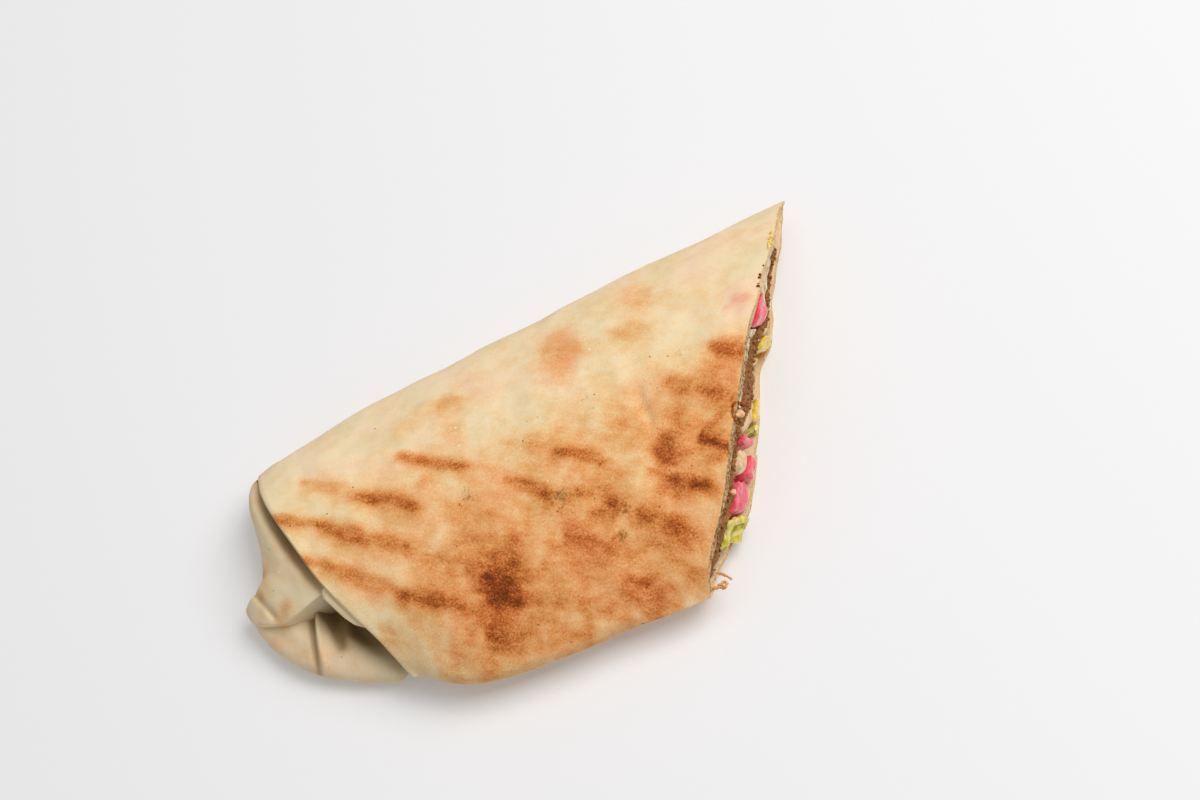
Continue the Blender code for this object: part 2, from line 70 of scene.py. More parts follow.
# The flatbread. It is rolled inwards from its loose end under the wrap, at angles that fall from the seam's
BREAD = 1.3 * MM
LAYER_GAP = 0.25 * MM
LAYER = BREAD + LAYER_GAP
BREAD_RADIUS = 12 * MM          # turns an angle round the roll into a length, for patterns along its edges
SEAM_ANGLE = 255 * DEGREE
RAMP_START_ANGLE = -84 * DEGREE  # from here to the ramp's end the bread dives under its own loose end
RAMP_END_ANGLE = -104 * DEGREE
OUTER_TURN_END = -108 * DEGREE
INNER_END_ANGLE = -398 * DEGREE
OUTER_TURN_SHARE = 0.76         # of the mesh's columns, because the outer turn is what shows

# The rim at the folded end: (angle in degrees, x in mm)
RIM = (
    (0, -63.4), (22, -63.3), (51, -62.4), (74, -60.7), (94, -58.3), (110, -55.9), (127, -52.1), (144, -48.3),
    (160, -46.2), (180, -45.0),
)
SEAM_CORNER_X = 10 * MM         # the round edge of the bread has run to this x where it meets the seam
UNDER_RIM = (
    (-180, -42.0), (-130, -44.5), (-104, -51.5), (-75, -56.0), (-45, -60.0), (-20, -62.6), (0, -63.4),
)
INNER_RIM_BACK = 3 * MM         # the inner turn starts that far inside the rim
INNER_LIP = 2.7 * MM            # but a lip of it stands that far out of the rim
INNER_LIP_ANGLES = (109, 118, 133, 145)  # where the lip starts, is full, begins to fade and is gone
EDGE_ROUND = 0.45 * MM          # how far the middle of a bread edge stands proud of its two corners
CUT_RAGGED = 0.28 * MM          # how ragged the knife has left the bread
RIM_WAVE = 0.35 * MM            # how wavy the bread's own edge is
# The bread's swelling over its filling: the size and height of its bumps in mm, and the seed that places them
SWELLING = ((11, 0.34, 11), (4.2, 0.20, 12), (1.7, 0.06, 13))

# The slanting cut
CUT_NEAR = (24.0 * MM, -42.6 * MM)
CUT_FAR = (75.9 * MM, 42.6 * MM)
CUT_BULGE = 1.5 * MM            # the middle of the cut stands proud of that line
# The knife wandered: how far the cut stands out along its upper and its lower edge, in mm, from -1 at the
# near fold to 1 at the far fold
CUT_HEAD = (
    (-1, 0), (-0.9, -1.2), (-0.75, -0.3), (-0.3, 0.1), (0.04, 0.0), (0.15, -0.4), (0.3, 0.3), (0.45, 0.3),
    (0.6, 1.0), (0.8, 1.2), (0.93, 0.2), (1, 0),
)
CUT_FOOT = (
    (-1, 0), (-0.9, -1.0), (-0.75, 0.2), (-0.56, 2.7), (-0.45, 2.5), (-0.3, 1.6), (-0.13, 0.9), (-0.02, -0.2),
    (0.08, -0.9), (0.18, -2.0), (0.32, 0.1), (0.41, -0.3), (0.6, -1.6), (0.8, -0.7), (1, 0),
)

# How much falafel and how much sauce the knife has smeared over the bread's cut edge, from -1 to 1 as above
CUT_SMEAR = ((-1, 0.45), (-0.8, 0.52), (-0.5, 0.50), (-0.2, 0.46), (0.1, 0.40), (0.3, 0.22), (1, 0.16))
CUT_SAUCE = ((-1, 0.0), (-0.75, 0.4), (-0.4, 0.45), (-0.2, 0.8), (0.2, 0.8), (0.3, 0.3), (1, 0.1))

# The folded end's lower lobe: its outline (x, y) seen from above, and its pleats, from (x, y) to (x, y) with
# depth and width, all in mm. It is widest at the height of its side
LOWER_CENTRE = (-53 * MM, 1 * MM)
LOWER_OUTLINE = (
    (-38, 1), (-41, 17), (-50, 26), (-60, 28.5), (-64.6, 22), (-66.3, 14), (-68.6, 8), (-73.4, 4.4),
    (-75.9, -1.2), (-73.6, -9.2), (-69.6, -15.4), (-65.9, -19.3), (-62, -22.1), (-58.1, -24.5),
    (-53.3, -26.9), (-47, -28.6), (-41, -20),
)
LOWER_SIDE = 4.2 * MM
LOWER_HEIGHT = 10.6 * MM
LOWER_PLEATS = (
    ((-61.8, -7.0), (-65.1, -19.5), 2.1, 0.9), ((-63.6, -8.0), (-66.6, -17.5), 0.5, 1.5),
    ((-57.4, -9.0), (-58.0, -17.5), 1.8, 1.6), ((-70.5, -7.5), (-67.5, -14.5), 0.35, 1.4),
)
LOWER_RIDGE = 1.0 * MM          # the bread swells by that much beside a pleat that is 1.8 mm deep
# How deep the lower lobe dips under the rim, as (y, depth) in mm, and how far out the dip fades
LOWER_HOLLOW = (
    (-33, 0.2), (-28, 0.7), (-22, 2.2), (-17, 3.9), (-12, 4.8), (-8, 5.4), (-5, 3.2), (0, 1.0), (34, 1.0),
)
LOWER_HOLLOW_WIDTH = 4.2 * MM
DAMP_DEPTH = 3.5 * MM           # a dip that deep gets the full olive-brown painted shade

# The folded end's upper lobe: its free edge as (share along it, x, y, z) and its root as (share, x, y), in mm
UPPER_EDGE = (
    (0.00, -60.5, 31.0, 9.6), (0.08, -64.6, 29.2, 9.8), (0.16, -66.7, 24.6, 10.0), (0.26, -67.2, 17.5, 10.0),
    (0.34, -67.9, 11.5, 9.4), (0.42, -70.4, 5.0, 8.2), (0.48, -73.4, 3.2, 7.0), (0.53, -75.9, 2.0, 6.2),
    (0.57, -75.6, -1.0, 6.6), (0.64, -73.4, -4.3, 8.4), (0.71, -70.6, -6.1, 10.0), (0.80, -66.8, -7.9, 12.0),
    (0.88, -63.2, -8.2, 14.0), (0.95, -59.0, -7.9, 16.2), (1.00, -55.0, -7.7, 18.2),
)
UPPER_ROOT = ((0.0, -53.0, 26.0), (0.3, -52.5, 14.0), (0.6, -50.5, 2.0), (1.0, -48.0, -6.5))
UPPER_EDGE_HALF = 0.8 * MM      # half the thickness of its edge
UPPER_FLOOR = 3 * MM            # its underside's height behind the edge
# The power of the curve from its root to its edge, at each share along the edge
UPPER_ROUND = ((0.0, 2.3), (0.3, 2.2), (0.45, 1.35), (0.6, 1.15), (1.0, 1.1))
UPPER_CREASES = (               # as the pleats, but a negative depth is a ridge
    ((-72.8, 3.6), (-69.6, -5.0), 0.8, 0.8), ((-66.3, 20.0), (-63.5, 6.0), -0.35, 1.6),
    ((-69.0, 6.5), (-62.5, -1.5), 0.25, 1.3),
)
# How deep it dips under the rim and how far out the dip fades, as for the lower lobe
UPPER_HOLLOW = ((-20, 0), (-9, 0.5), (-5, 1.7), (4, 2.8), (16, 2.8), (24, 1.9), (34, 0.6))
UPPER_HOLLOW_WIDTH = 2.0 * MM
UPPER_CLEARANCE = 0.1 * MM      # it stays that far inside the bread that covers it
END_FLOOR_GAP = 0.35 * MM       # the folded end stays that far off the table

# The filling, placed by its share across the hollow: -1 near, 1 far
AIR = 0.35 * MM                 # between neighbours
CAVITY = 2 * BREAD + LAYER_GAP + AIR
FILLING_START = -35 * MM
FALAFEL_MIDDLE = (              # (share, height in mm) of the middle of the falafel
    (-1, 9.4), (-0.9, 10.2), (-0.78, 12.8), (-0.67, 14.3), (-0.58, 15.6), (-0.5, 17.4), (-0.38, 18.6),
    (-0.27, 17.9), (-0.15, 16.0), (-0.05, 14.4), (0.08, 13.2), (0.2, 12.9), (0.3, 11.9), (0.4, 9.8),
    (0.55, 9.9), (0.75, 10.4), (1, 9.6),
)
FALAFEL_HALF = (                # and half its thickness
    (-1, 0.8), (-0.9, 2.2), (-0.78, 2.4), (-0.67, 2.6), (-0.58, 3.0), (-0.5, 1.9), (-0.38, 1.8),
    (-0.27, 1.9), (-0.15, 3.2), (-0.05, 4.8), (0.08, 4.8), (0.2, 3.5), (0.3, 1.8), (0.4, 1.3), (0.55, 1.3),
    (0.75, 1.0), (1, 0.6),
)
FALAFEL_REACH = (-0.95, 0.8)    # how far across the falafel spreads
FALAFEL_LENGTH = 36 * MM        # each falafel in the row is that long
FALAFEL_LUMP = 0.10             # and swells by that share in its middle
FIRST_FALAFEL_X = 12 * MM       # where the middle of one of them is
STICK_ROUND = 0.3               # 0 leaves a stick square, 0.5 makes it round
LEAF_THICKNESS = 0.9 * MM
LEAF_WAVE = 0.2 * MM
LEAF_LEAN = 0.7                 # a leaf stands out less at its top, by this share
LEAF_DROOP = 1.5 * MM           # and its end sags that far outside the cut

# Crisp shreds that hang on the cut: (x, y, z) in mm along each, its half thickness and how dark it is toasted
SHREDS = (
    (((27.0, -37.5, 8.0), (28.1, -38.3, 8.0), (28.8, -39.2, 8.0), (29.4, -40.2, 8.0)), 0.28, 0.36),
    (((24.9, -40.7, 8.0), (26.4, -40.9, 8.0), (26.9, -41.4, 8.2), (27.6, -41.5, 8.4)), 0.36, 0.42),
    (((27.6, -41.5, 8.4), (28.1, -40.9, 8.2), (28.0, -40.2, 8.0), (27.4, -40.1, 8.0)), 0.34, 0.38),
    (((27.4, -40.1, 8.0), (26.8, -40.6, 8.2), (26.2, -40.3, 8.2)), 0.30, 0.34),
    (((47.3, -9.0, 22.4), (46.8, -8.8, 23.2), (46.4, -8.3, 23.7), (45.5, -8.4, 24.0)), 0.36, 0.9),
    (((45.5, -8.4, 24.0), (45.0, -9.2, 24.0), (44.6, -10.2, 24.0), (44.3, -11.2, 23.8)), 0.24, 0.8),
    (((44.3, -11.2, 23.8), (44.5, -12.2, 23.3), (44.6, -13.2, 22.4)), 0.26, 0.75),
)
SHRED_STEP = 0.2 * MM
# Pale bits of bread that cling to the cut: (y, z, how far they stand out of it) and half width, all in mm
PALE_LUMPS = (
    ((-9.9, 21.2, 0.3), 1.0), ((-10.8, 22.6, 0.2), 0.7), ((-24.3, 15.4, 0.2), 0.95), ((-27.8, 8.8, 0.4), 0.8),
)
PALE_LUMP_TOAST = 0.2
# Crumbs of yellow pickle and of burnt bread on the top beside the cut: (x, y) and half width, all in mm
GOLD_LUMPS = (
    ((69.7, 31.9), 0.42), ((69.7, 30.4), 0.5), ((68.6, 30.1), 0.45), ((68.7, 28.8), 0.5),
    ((67.9, 28.6), 0.36), ((68.6, 27.7), 0.42), ((68.0, 27.0), 0.32),
)
DARK_LUMPS = (
    ((63.9, 20.0), 0.32), ((63.1, 19.3), 0.40), ((62.8, 17.9), 0.26), ((62.0, 17.3), 0.36),
    ((65.2, 22.6), 0.24),
)
TOP_CRUMB_INSET = 0.5 * MM      # they lie at least that far inside the cut
CRUMB_COUNT = 330               # loose crumbs of falafel
CRUMB_REACH = (-0.93, 0.78)     # they lie on the cut between these shares across the wrap
DRAGGED_TO = 0.25               # up to this share the knife has dragged some over the bread's edge
LUMP_SEED = 5

# Where the middle of the footprint, which is the origin of the wrap's frame, comes out in the values above
FOOTPRINT_MIDDLE = (0.057 * MM, -0.289 * MM)
TABLE_GAP = 0.02 * MM           # the table is that far below 0, and the wrap's lowest skin that far above 0

# Marks of the hot grill on the top: from (x, y) to (x, y), half width, all in mm, and how dark each is.
# The one from (33.0, -4.6) to (36.2, -8.8) is painted shade beside a ridge, not browning
TOP_MARKS = (
    ((-29.6, 15.0), (-16.0, 4.6), 1.7, 0.66), ((-18.4, 6.0), (-9.0, 0.0), 1.4, 0.26),
    ((-51.6, 18.6), (-38.0, 7.8), 2.0, 0.38), ((-41.2, 9.2), (-28.6, 0.2), 2.1, 0.68),
    ((-60.4, 12.6), (-52.0, 6.4), 1.7, 0.60), ((-51.6, 5.6), (-34.0, -8.4), 2.1, 0.72),
    ((-57.0, -0.2), (-41.0, -15.4), 2.1, 0.62), ((-39.4, -17.0), (-28.0, -25.0), 1.9, 0.72),
    ((-30.0, -12.6), (-23.4, -18.2), 3.4, 0.40), ((-46.8, -21.0), (-45.0, -23.6), 1.9, 0.26),
    ((-16.8, -14.0), (-15.8, -20.5), 2.6, 0.24), ((-20.6, -18.6), (-16.8, -25.0), 4.2, 0.62),
    # Painted shade: the mark from (33.0, -4.6) to (36.2, -8.8) darkens the side of a ridge
    ((-15.2, -19.0), (-12.0, -25.4), 3.0, 0.44), ((33.0, -4.6), (36.2, -8.8), 2.3, 0.34),
    ((-19.6, -22.4), (-15.6, -28.6), 3.3, 0.90), ((-23.5, -30.5), (-22.0, -35.5), 3.4, 0.50),
    ((-22.0, -3.2), (-14.0, -7.8), 3.0, 0.24), ((-24.8, 6.6), (-24.2, 2.0), 2.6, 0.20),
    ((-7.4, -4.2), (-0.5, -10.0), 2.0, 0.68), ((-4.0, 5.6), (7.0, -2.6), 1.9, 0.28),
    ((6.4, -2.0), (13.8, -8.4), 2.2, 0.62), ((-2.0, -10.6), (6.0, -14.2), 1.5, 0.40),
    ((7.8, -11.0), (11.2, -14.2), 1.4, 0.34), ((11.8, -17.4), (14.4, -21.8), 1.5, 0.60),
    ((4.5, -15.4), (9.5, -12.6), 2.8, 0.26), ((-0.6, -21.4), (7.4, -27.0), 1.9, 0.56),
    ((9.8, -25.2), (11.4, -26.5), 1.1, 0.6), ((22.0, -15.0), (26.4, -18.2), 1.4, 0.34),
    ((26.4, -18.2), (32.6, -22.6), 2.0, 0.92), ((31.0, -21.6), (35.6, -25.2), 1.8, 0.36),
    ((28.6, -8.4), (32.6, -10.8), 2.6, 0.44), ((25.0, -10.8), (28.4, -13.2), 2.4, 0.66),
    ((35.6, -12.0), (42.0, -19.2), 1.4, 0.90), ((36.0, -11.6), (42.6, -9.4), 1.2, 0.50),
    ((16.6, -22.2), (26.0, -30.2), 2.1, 0.66), ((8.0, -34.6), (14.4, -38.0), 1.9, 0.34),
    ((19.0, -34.4), (22.8, -37.2), 1.8, 0.26), ((-9.0, -31.2), (-3.0, -34.8), 2.6, 0.30),
    ((46.6, 7.0), (54.0, 1.8), 2.0, 0.74), ((46.6, 4.4), (49.4, 2.2), 1.8, 0.30),
    ((34.8, 3.0), (38.4, 0.8), 1.7, 0.50), ((40.2, -2.2), (47.4, -9.2), 1.1, 0.74),
    ((14.6, 28.0), (12.4, 18.8), 4.6, 0.33), ((18.4, 23.4), (16.0, 21.0), 3.0, 0.16),
    ((33.8, 31.2), (37.4, 26.8), 3.2, 0.22), ((27.4, 22.4), (34.0, 18.6), 3.4, 0.24),
    ((-17.4, 26.2), (-12.0, 23.6), 2.4, 0.24), ((-16.8, 17.8), (-14.6, 12.4), 2.2, 0.20),
    ((-14.4, -38.8), (-5.2, -41.0), 1.8, 0.20), ((8.6, -40.6), (15.6, -41.9), 1.6, 0.40),
    ((-28.2, -37.0), (-26.4, -38.6), 2.0, 0.3), ((-24.4, -34.4), (-17.0, -36.0), 2.8, 0.24),
)
MARK_CORE = 0.44                # the share of a mark's darkness in its sharp middle
MARK_HALO = 0.36                # and in the wide soft edge round it
MARK_DRAG = 0.45                # which lies on the mark's near side, by this share of its half width
STREAK_TURN = -0.62             # the browning is drawn out along the ribs, turned from X by this angle
# Wide soft areas where the bread is tan all over: middle (x, y), radius along x and y in mm, how dark
TAN_AREAS = (
    ((2, -20), (34, 17), 0.30), ((38, -9), (18, 14), 0.34), ((-24, -16), (18, 14), 0.18),
    ((12, -38), (42, 8), 0.34), ((8, 2), (22, 8), 0.10), ((48, -2), (10, 12), 0.16),
    ((-30, 4), (26, 14), 0.08), ((30, 30), (34, 12), 0.05), ((8, -19), (7, 5), 0.26),
    ((20, -30), (10, 5), 0.18), ((-26, -30), (12, 7), 0.18), ((-8, -32), (12, 5), 0.14),
    ((-19, 23), (12, 4), 0.10), ((16, 8), (9, 5), 0.08),
)
# The folded end has only a few light brown spots: middle (x, y) and radius in mm, how dark
END_SPOTS = (
    ((-71.3, 1.1), 1.4, 0.26), ((-66.0, -5.4), 1.7, 0.30), ((-69.2, 5.5), 1.6, 0.24),
    ((-68.7, 2.7), 1.6, 0.20), ((-68.4, -6.6), 1.4, 0.22), ((-62.0, -18.0), 2.0, 0.12),
    ((-72.0, -9.0), 1.6, 0.16),
)
# Pink juice that has soaked into the bread, most of it beside the upper pickle, in the same form
STAINS = (
    ((56.4, 16.4), 3.2, 0.26), ((55.6, 16.6), 1.2, 0.55), ((57.6, 15.6), 1.3, 0.45),
    ((52.7, 14.8), 0.7, 0.45), ((55.0, 20.4), 0.9, 0.28), ((55.6, 12.5), 2.0, 0.16),
    ((28.0, 3.0), 5.5, 0.12), ((17.0, 27.5), 3.2, 0.20), ((15.5, 20.5), 3.4, 0.14),
)
# Where burnt flour has left small dark spots, in the same form, and one area of painted crease shade
SPECK_AREAS = (
    ((1.6, -12.5), 3.2, 0.5), ((14.0, -20.5), 2.2, 0.5), ((11.2, -25.6), 1.8, 0.5), ((-17.5, -3.0), 2.6, 0.4),
    # Painted shade: the area at (26.4, -0.5) darkens the crease that runs down x = 26.8 mm
    ((15.0, 8.0), 3.4, 0.3), ((26.4, -0.5), 2.6, 0.26), ((39.0, 9.0), 3.2, 0.3), ((29.0, -10.5), 4.5, 0.4),
    ((-42.0, 11.6), 2.4, 0.2), ((-52.0, 7.0), 2.6, 0.2), ((28.0, -20.0), 5.0, 0.35),
    ((-10.0, -22.0), 8.0, 0.12), ((3.0, 4.0), 4.0, 0.25),
)
# The underside's marks: the pitch of the grill's ribs, and how they cross the wrap, dy over dx
GRILL_PITCH = 11.5 * MM
GRILL_SLOPE = -0.62

# Creases in the top: from (x, y) to (x, y), depth and half width in mm; a negative depth is a ridge
TOP_CREASES = (
    ((26.8, 3.8), (26.8, -5.0), 1.0, 1.1), ((32.0, -1.5), (39.0, -7.5), 0.35, 1.0),
    ((36.5, -12.0), (43.0, -8.5), -0.4, 1.1), ((33.0, -8.0), (35.0, -15.0), 0.35, 1.0),
    ((29.0, -14.5), (38.0, -17.0), -0.35, 1.5), ((20.0, -16.0), (29.0, -12.5), 0.3, 1.3),
    ((42.0, 2.0), (50.0, -1.0), -0.35, 1.3), ((8.0, -16.0), (16.0, -20.0), 0.25, 1.3),
    ((-24.0, -22.0), (-29.5, -31.0), 0.2, 1.4), ((-42.0, -13.5), (-38.5, -18.5), 0.3, 0.8),
)

# The camera: its axes and its place, so that the wrap lies in the frame as it was photographed
CAMERA_RIGHT = Vector((0.9156, -0.3420, -0.2114))
CAMERA_UP = Vector((0.4011, 0.8138, 0.4206))
CAMERA_BACK = Vector((0.0282, -0.4698, 0.8823))
CAMERA_PLACE = Vector((36.34, -293.61, 586.9)) * MM
CAMERA_LENS = 85.0


def ease(t):
    """0 below 0, 1 above 1, with a smooth step between."""
    t = np.clip(t, 0.0, 1.0)
    return t * t * (3 - 2 * t)


def smooth_line(points, t):
    """Reads a smooth curve that passes through points, each (place, value), at place t."""
    places = np.array([p[0] for p in points], float)
    values = np.array([p[1] for p in points], float)
    slopes = np.gradient(values, places)
    t = np.clip(t, places[0], places[-1])
    left = np.clip(np.searchsorted(places, t, side="right") - 1, 0, len(places) - 2)
    width = places[left + 1] - places[left]
    s = (t - places[left]) / width
    rise = values[left] * (1 + 2 * s) * (1 - s) ** 2 + values[left + 1] * s * s * (3 - 2 * s)
    return rise + width * (slopes[left] * s * (1 - s) ** 2 - slopes[left + 1] * s * s * (1 - s))


def relief(points, size, seed):
    """Soft random relief from about -1 to 1, with bumps about size metres apart."""
    shift = Vector((seed * 7.31, seed * 3.77, seed * 5.19))
    return np.array([noise.noise(Vector(p) / size + shift) for p in points]) * 1.6


def off_line(x, y, start, end):
    """How far a point is from a stroke, in metres, and where along it the nearest point lies, from 0 to 1."""
    (x0, y0), (x1, y1) = start, end
    x0, y0, x1, y1 = x0 * MM, y0 * MM, x1 * MM, y1 * MM
    length = math.hypot(x1 - x0, y1 - y0)
    along = ((x - x0) * (x1 - x0) + (y - y0) * (y1 - y0)) / length**2
    near = np.clip(along, 0, 1)
    return np.hypot(x - x0 - (x1 - x0) * near, y - y0 - (y1 - y0) * near), along


def creased(x, y, creases):
    """How far the creases push a surface in, at x and y."""
    push = np.zeros_like(x)
    for start, end, depth, width in creases:
        away, _ = off_line(x, y, start, end)
        push += depth * MM * np.exp(-((away / (width * MM)) ** 2))
    return push


def spotted(x, y, spots):
    """Soft round spots, each (middle, radius, strength), laid over each other."""
    clear = np.ones_like(x)
    for (cx, cy), radius, strength in spots:
        reach = np.hypot(x - cx * MM, y - cy * MM) / (radius * MM)
        clear *= 1 - strength * np.exp(-(reach**2))
    return 1 - clear


# The roll's own form


def near_edge(x):
    """The y of the near side fold at x."""
    return smooth_line(NEAR_EDGE, x / MM) * MM


def far_edge(x):
    """The y of the far side fold at x."""
    return smooth_line(FAR_EDGE, x / MM) * MM


def top_height(x, across):
    """The height of the roll's crown at x, with slow waves that change across it."""
    rise = ease(1 + x / FADE_LENGTH)
    waves = np.sin(x / (11 * MM) + 1.3) * np.cos(2.1 * across) + 0.6 * np.sin(x / (6.5 * MM) - 2.4 * across)
    return THICKNESS_AT_FOLD + (THICKNESS - THICKNESS_AT_FOLD) * rise + SAG * 0.5 * (waves - 1)


def roll_point(angle, x, inset):
    """Points of the roll's cross-section at x, inset from its outer face by that many metres."""
    near, far = near_edge(x), far_edge(x)
    across, up = np.cos(angle), np.sin(angle)
    y = (near + far) / 2 + ((far - near) / 2 - inset) * across
    crown = np.clip(up, 0, 1) ** TOP_FULLNESS
    press = np.minimum(1.0, BOTTOM_PRESS * np.clip(-up, 0, 1) ** BOTTOM_FULLNESS)
    top = SIDE_HEIGHT + (top_height(x, across) - SIDE_HEIGHT - inset) * crown
    return x, y, np.where(up >= 0, top, SIDE_HEIGHT - (SIDE_HEIGHT - inset) * press)


def roll_height(x, y, inset):
    """(lowest, highest) z inside the roll at x and y."""
    near, far = near_edge(x), far_edge(x)
    across = np.clip((y - (near + far) / 2) / ((far - near) / 2 - inset), -1.0, 1.0)
    up = np.sqrt(1 - across * across)
    press = np.minimum(1.0, BOTTOM_PRESS * up**BOTTOM_FULLNESS)
    low = SIDE_HEIGHT - (SIDE_HEIGHT - inset) * press
    return low, SIDE_HEIGHT + (top_height(x, across) - SIDE_HEIGHT - inset) * up**TOP_FULLNESS


def cut_share(y):
    """How far along the cut a place lies, from -1 at the near fold to 1 at the far fold."""
    return 2 * (y - CUT_NEAR[1]) / (CUT_FAR[1] - CUT_NEAR[1]) - 1


def cut_x(y, z):
    """Where the cut lies at this y and z."""
    along = cut_share(y)
    line = CUT_NEAR[0] + (CUT_FAR[0] - CUT_NEAR[0]) * (along + 1) / 2
    height = np.clip(z / THICKNESS, 0, 1)
    foot, head = smooth_line(CUT_FOOT, along) * MM, smooth_line(CUT_HEAD, along) * MM
    return line + CUT_BULGE * np.maximum(0.0, 1 - along * along) + foot + (head - foot) * height


def cut_point(angle, inset):
    """The x at which the cut crosses the roll, found by a few steps from the cut's middle."""
    x = np.full_like(angle, (CUT_NEAR[0] + CUT_FAR[0]) / 2)
    for _ in range(12):
        _, y, z = roll_point(angle, x, inset)
        x = cut_x(y, z)
    return x


def rim_x(angle):
    """Where the flatbread begins at the folded end, for each place round the roll."""
    degrees = angle / DEGREE
    under = np.clip((angle - math.pi) / (SEAM_ANGLE - math.pi), 0, 1)
    outer = smooth_line(RIM, degrees) * MM + (SEAM_CORNER_X - RIM[-1][1] * MM) * (1 - np.sqrt(1 - under**2))
    below = smooth_line(UNDER_RIM, degrees) * MM
    turned = degrees % 360
    first, full, last, none = INNER_LIP_ANGLES
    lip = ease((turned - first) / (full - first)) * ease((none - turned) / (none - last))
    inner = smooth_line(RIM, turned) * MM + INNER_RIM_BACK - (INNER_RIM_BACK + INNER_LIP) * lip
    return np.where(degrees >= 0, outer, np.where(degrees > -180, below, inner))


def layer_inset(angle):
    """How far inside the outer face the bread lies: it dives under its own loose end by one layer."""
    return LAYER * ease((RAMP_START_ANGLE - angle) / (RAMP_START_ANGLE - RAMP_END_ANGLE))


# Modelling


def read_points(thing):
    flat = np.empty(len(thing.data.vertices) * 3)
    thing.data.vertices.foreach_get("co", flat)
    return flat.reshape(-1, 3)


def put_points(thing, x, y, z):
    """Moves the corners to x, y and z, and brings them into the wrap's frame."""
    points = np.stack([x - FOOTPRINT_MIDDLE[0], y - FOOTPRINT_MIDDLE[1], np.maximum(z, TABLE_GAP)], axis=1)
    thing.data.vertices.foreach_set("co", points.ravel())
    thing.data.update()


def face_outwards():
    """Turns the faces of the new mesh outwards, and shades them smooth except over sharp corners."""
    bpy.ops.object.mode_set(mode="EDIT")
    bpy.ops.mesh.select_all(action="SELECT")
    bpy.ops.mesh.normals_make_consistent(inside=False)
    bpy.ops.object.mode_set(mode="OBJECT")
    bpy.ops.object.shade_smooth_by_angle(angle=50 * DEGREE)


def added(name):
    """Names the object that was just added."""
    thing = bpy.context.object
    thing.name = name
    thing.data.name = name
    return thing


def model_slab(name, counts, place):
    """A grid extruded to a slab of that many cells, and bent to shape.

    place(u, v, w) gives x, y and z for shares from 0 to 1 across, along and through the slab.
    """
    across, along, deep = counts
    bpy.ops.object.select_all(action="DESELECT")
    bpy.ops.mesh.primitive_grid_add(x_subdivisions=across, y_subdivisions=along, size=1)
    thing = added(name)
    bpy.ops.object.mode_set(mode="EDIT")
    bpy.ops.mesh.select_all(action="SELECT")
    for _ in range(deep):
        bpy.ops.mesh.extrude_region_move(TRANSFORM_OT_translate={"value": (0, 0, 1 / deep)})
    bpy.ops.object.mode_set(mode="OBJECT")
    lattice = read_points(thing)
    u, v, w = lattice[:, 0] + 0.5, lattice[:, 1] + 0.5, lattice[:, 2]
    put_points(thing, *place(u, v, w))
    face_outwards()
    return thing, (u, v, w)


def model_pad(name, segments, rings, place):
    """A sphere pressed into a cushion.

    place(turn, share, top) gives x, y and z. The share is 1 along its side, and top is true above that.
    """
    bpy.ops.object.select_all(action="DESELECT")
    bpy.ops.mesh.primitive_uv_sphere_add(segments=segments, ring_count=rings, radius=1)
    thing = added(name)
    ball = read_points(thing)
    turn = np.arctan2(ball[:, 1], ball[:, 0]) / (2 * math.pi) % 1.0
    share = np.clip(np.hypot(ball[:, 0], ball[:, 1]), 0, 1)
    put_points(thing, *place(turn, share, ball[:, 2] >= 0))
    face_outwards()
    return thing


def keep_attribute(thing, name, values):
    attribute = thing.data.attributes.new(name, "FLOAT", "POINT")
    attribute.data.foreach_set("value", np.asarray(values, np.float32))


def paint_faces(thing, chosen, material):
    """Gives material to the faces whose corners are all chosen."""
    thing.data.materials.append(material)
    index = len(thing.data.materials) - 1
    for face in thing.data.polygons:
        if all(chosen[corner] for corner in face.vertices):
            face.material_index = index


def finish_piece(thing, slot, *nodes):
    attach(thing, "root")
    if nodes:
        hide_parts(*nodes)


# Materials


def linear(hex_colour):
    """An sRGB hex colour as the linear colour that a shader takes."""
    parts = [int(hex_colour[i : i + 2], 16) / 255 for i in (1, 3, 5)]
    return tuple(p / 12.92 if p <= 0.04045 else ((p + 0.055) / 1.055) ** 2.4 for p in parts) + (1.0,)


def per_mm(size):
    """The scale of a pattern whose features are size millimetres apart."""
    return 1 / (size * MM)


def add_node(material, kind, inputs=(), stops=(), **settings):
    """Adds a node with its settings, and the stops of its ramp.

    An input is linked where its value is a node or an output, and set otherwise.
    """
    made = material.node_tree.nodes.new(kind)
    for name, value in settings.items():
        setattr(made, name, value)
    for name, value in inputs.items() if isinstance(inputs, dict) else enumerate(inputs):
        if isinstance(value, bpy.types.Node):
            value = value.outputs[0]
        if isinstance(value, bpy.types.NodeSocket):
            material.node_tree.links.new(value, made.inputs[name])
        else:
            made.inputs[name].default_value = value
    for index, (place, colour) in enumerate(stops):
        elements = made.color_ramp.elements
        element = elements[index] if index < len(elements) else elements.new(place)
        element.position = place
        element.color = linear(colour)
    return made


def new_material(name, **surface):
    """A Principled surface with the values that hold all over it, and a short way to add its nodes."""
    material = bpy.data.materials.new(name)
    material.use_nodes = True
    shader = material.node_tree.nodes["Principled BSDF"]
    for key, value in surface.items():
        shader.inputs[key.replace("_", " ")].default_value = value
    return material, partial(add_node, material)


def dress(material, colour, normal):
    """Gives the surface its colour and its fine relief."""
    surface = material.node_tree.nodes["Principled BSDF"].inputs
    material.node_tree.links.new(colour, surface["Base Color"])
    material.node_tree.links.new(normal.outputs["Normal"], surface["Normal"])
    return material


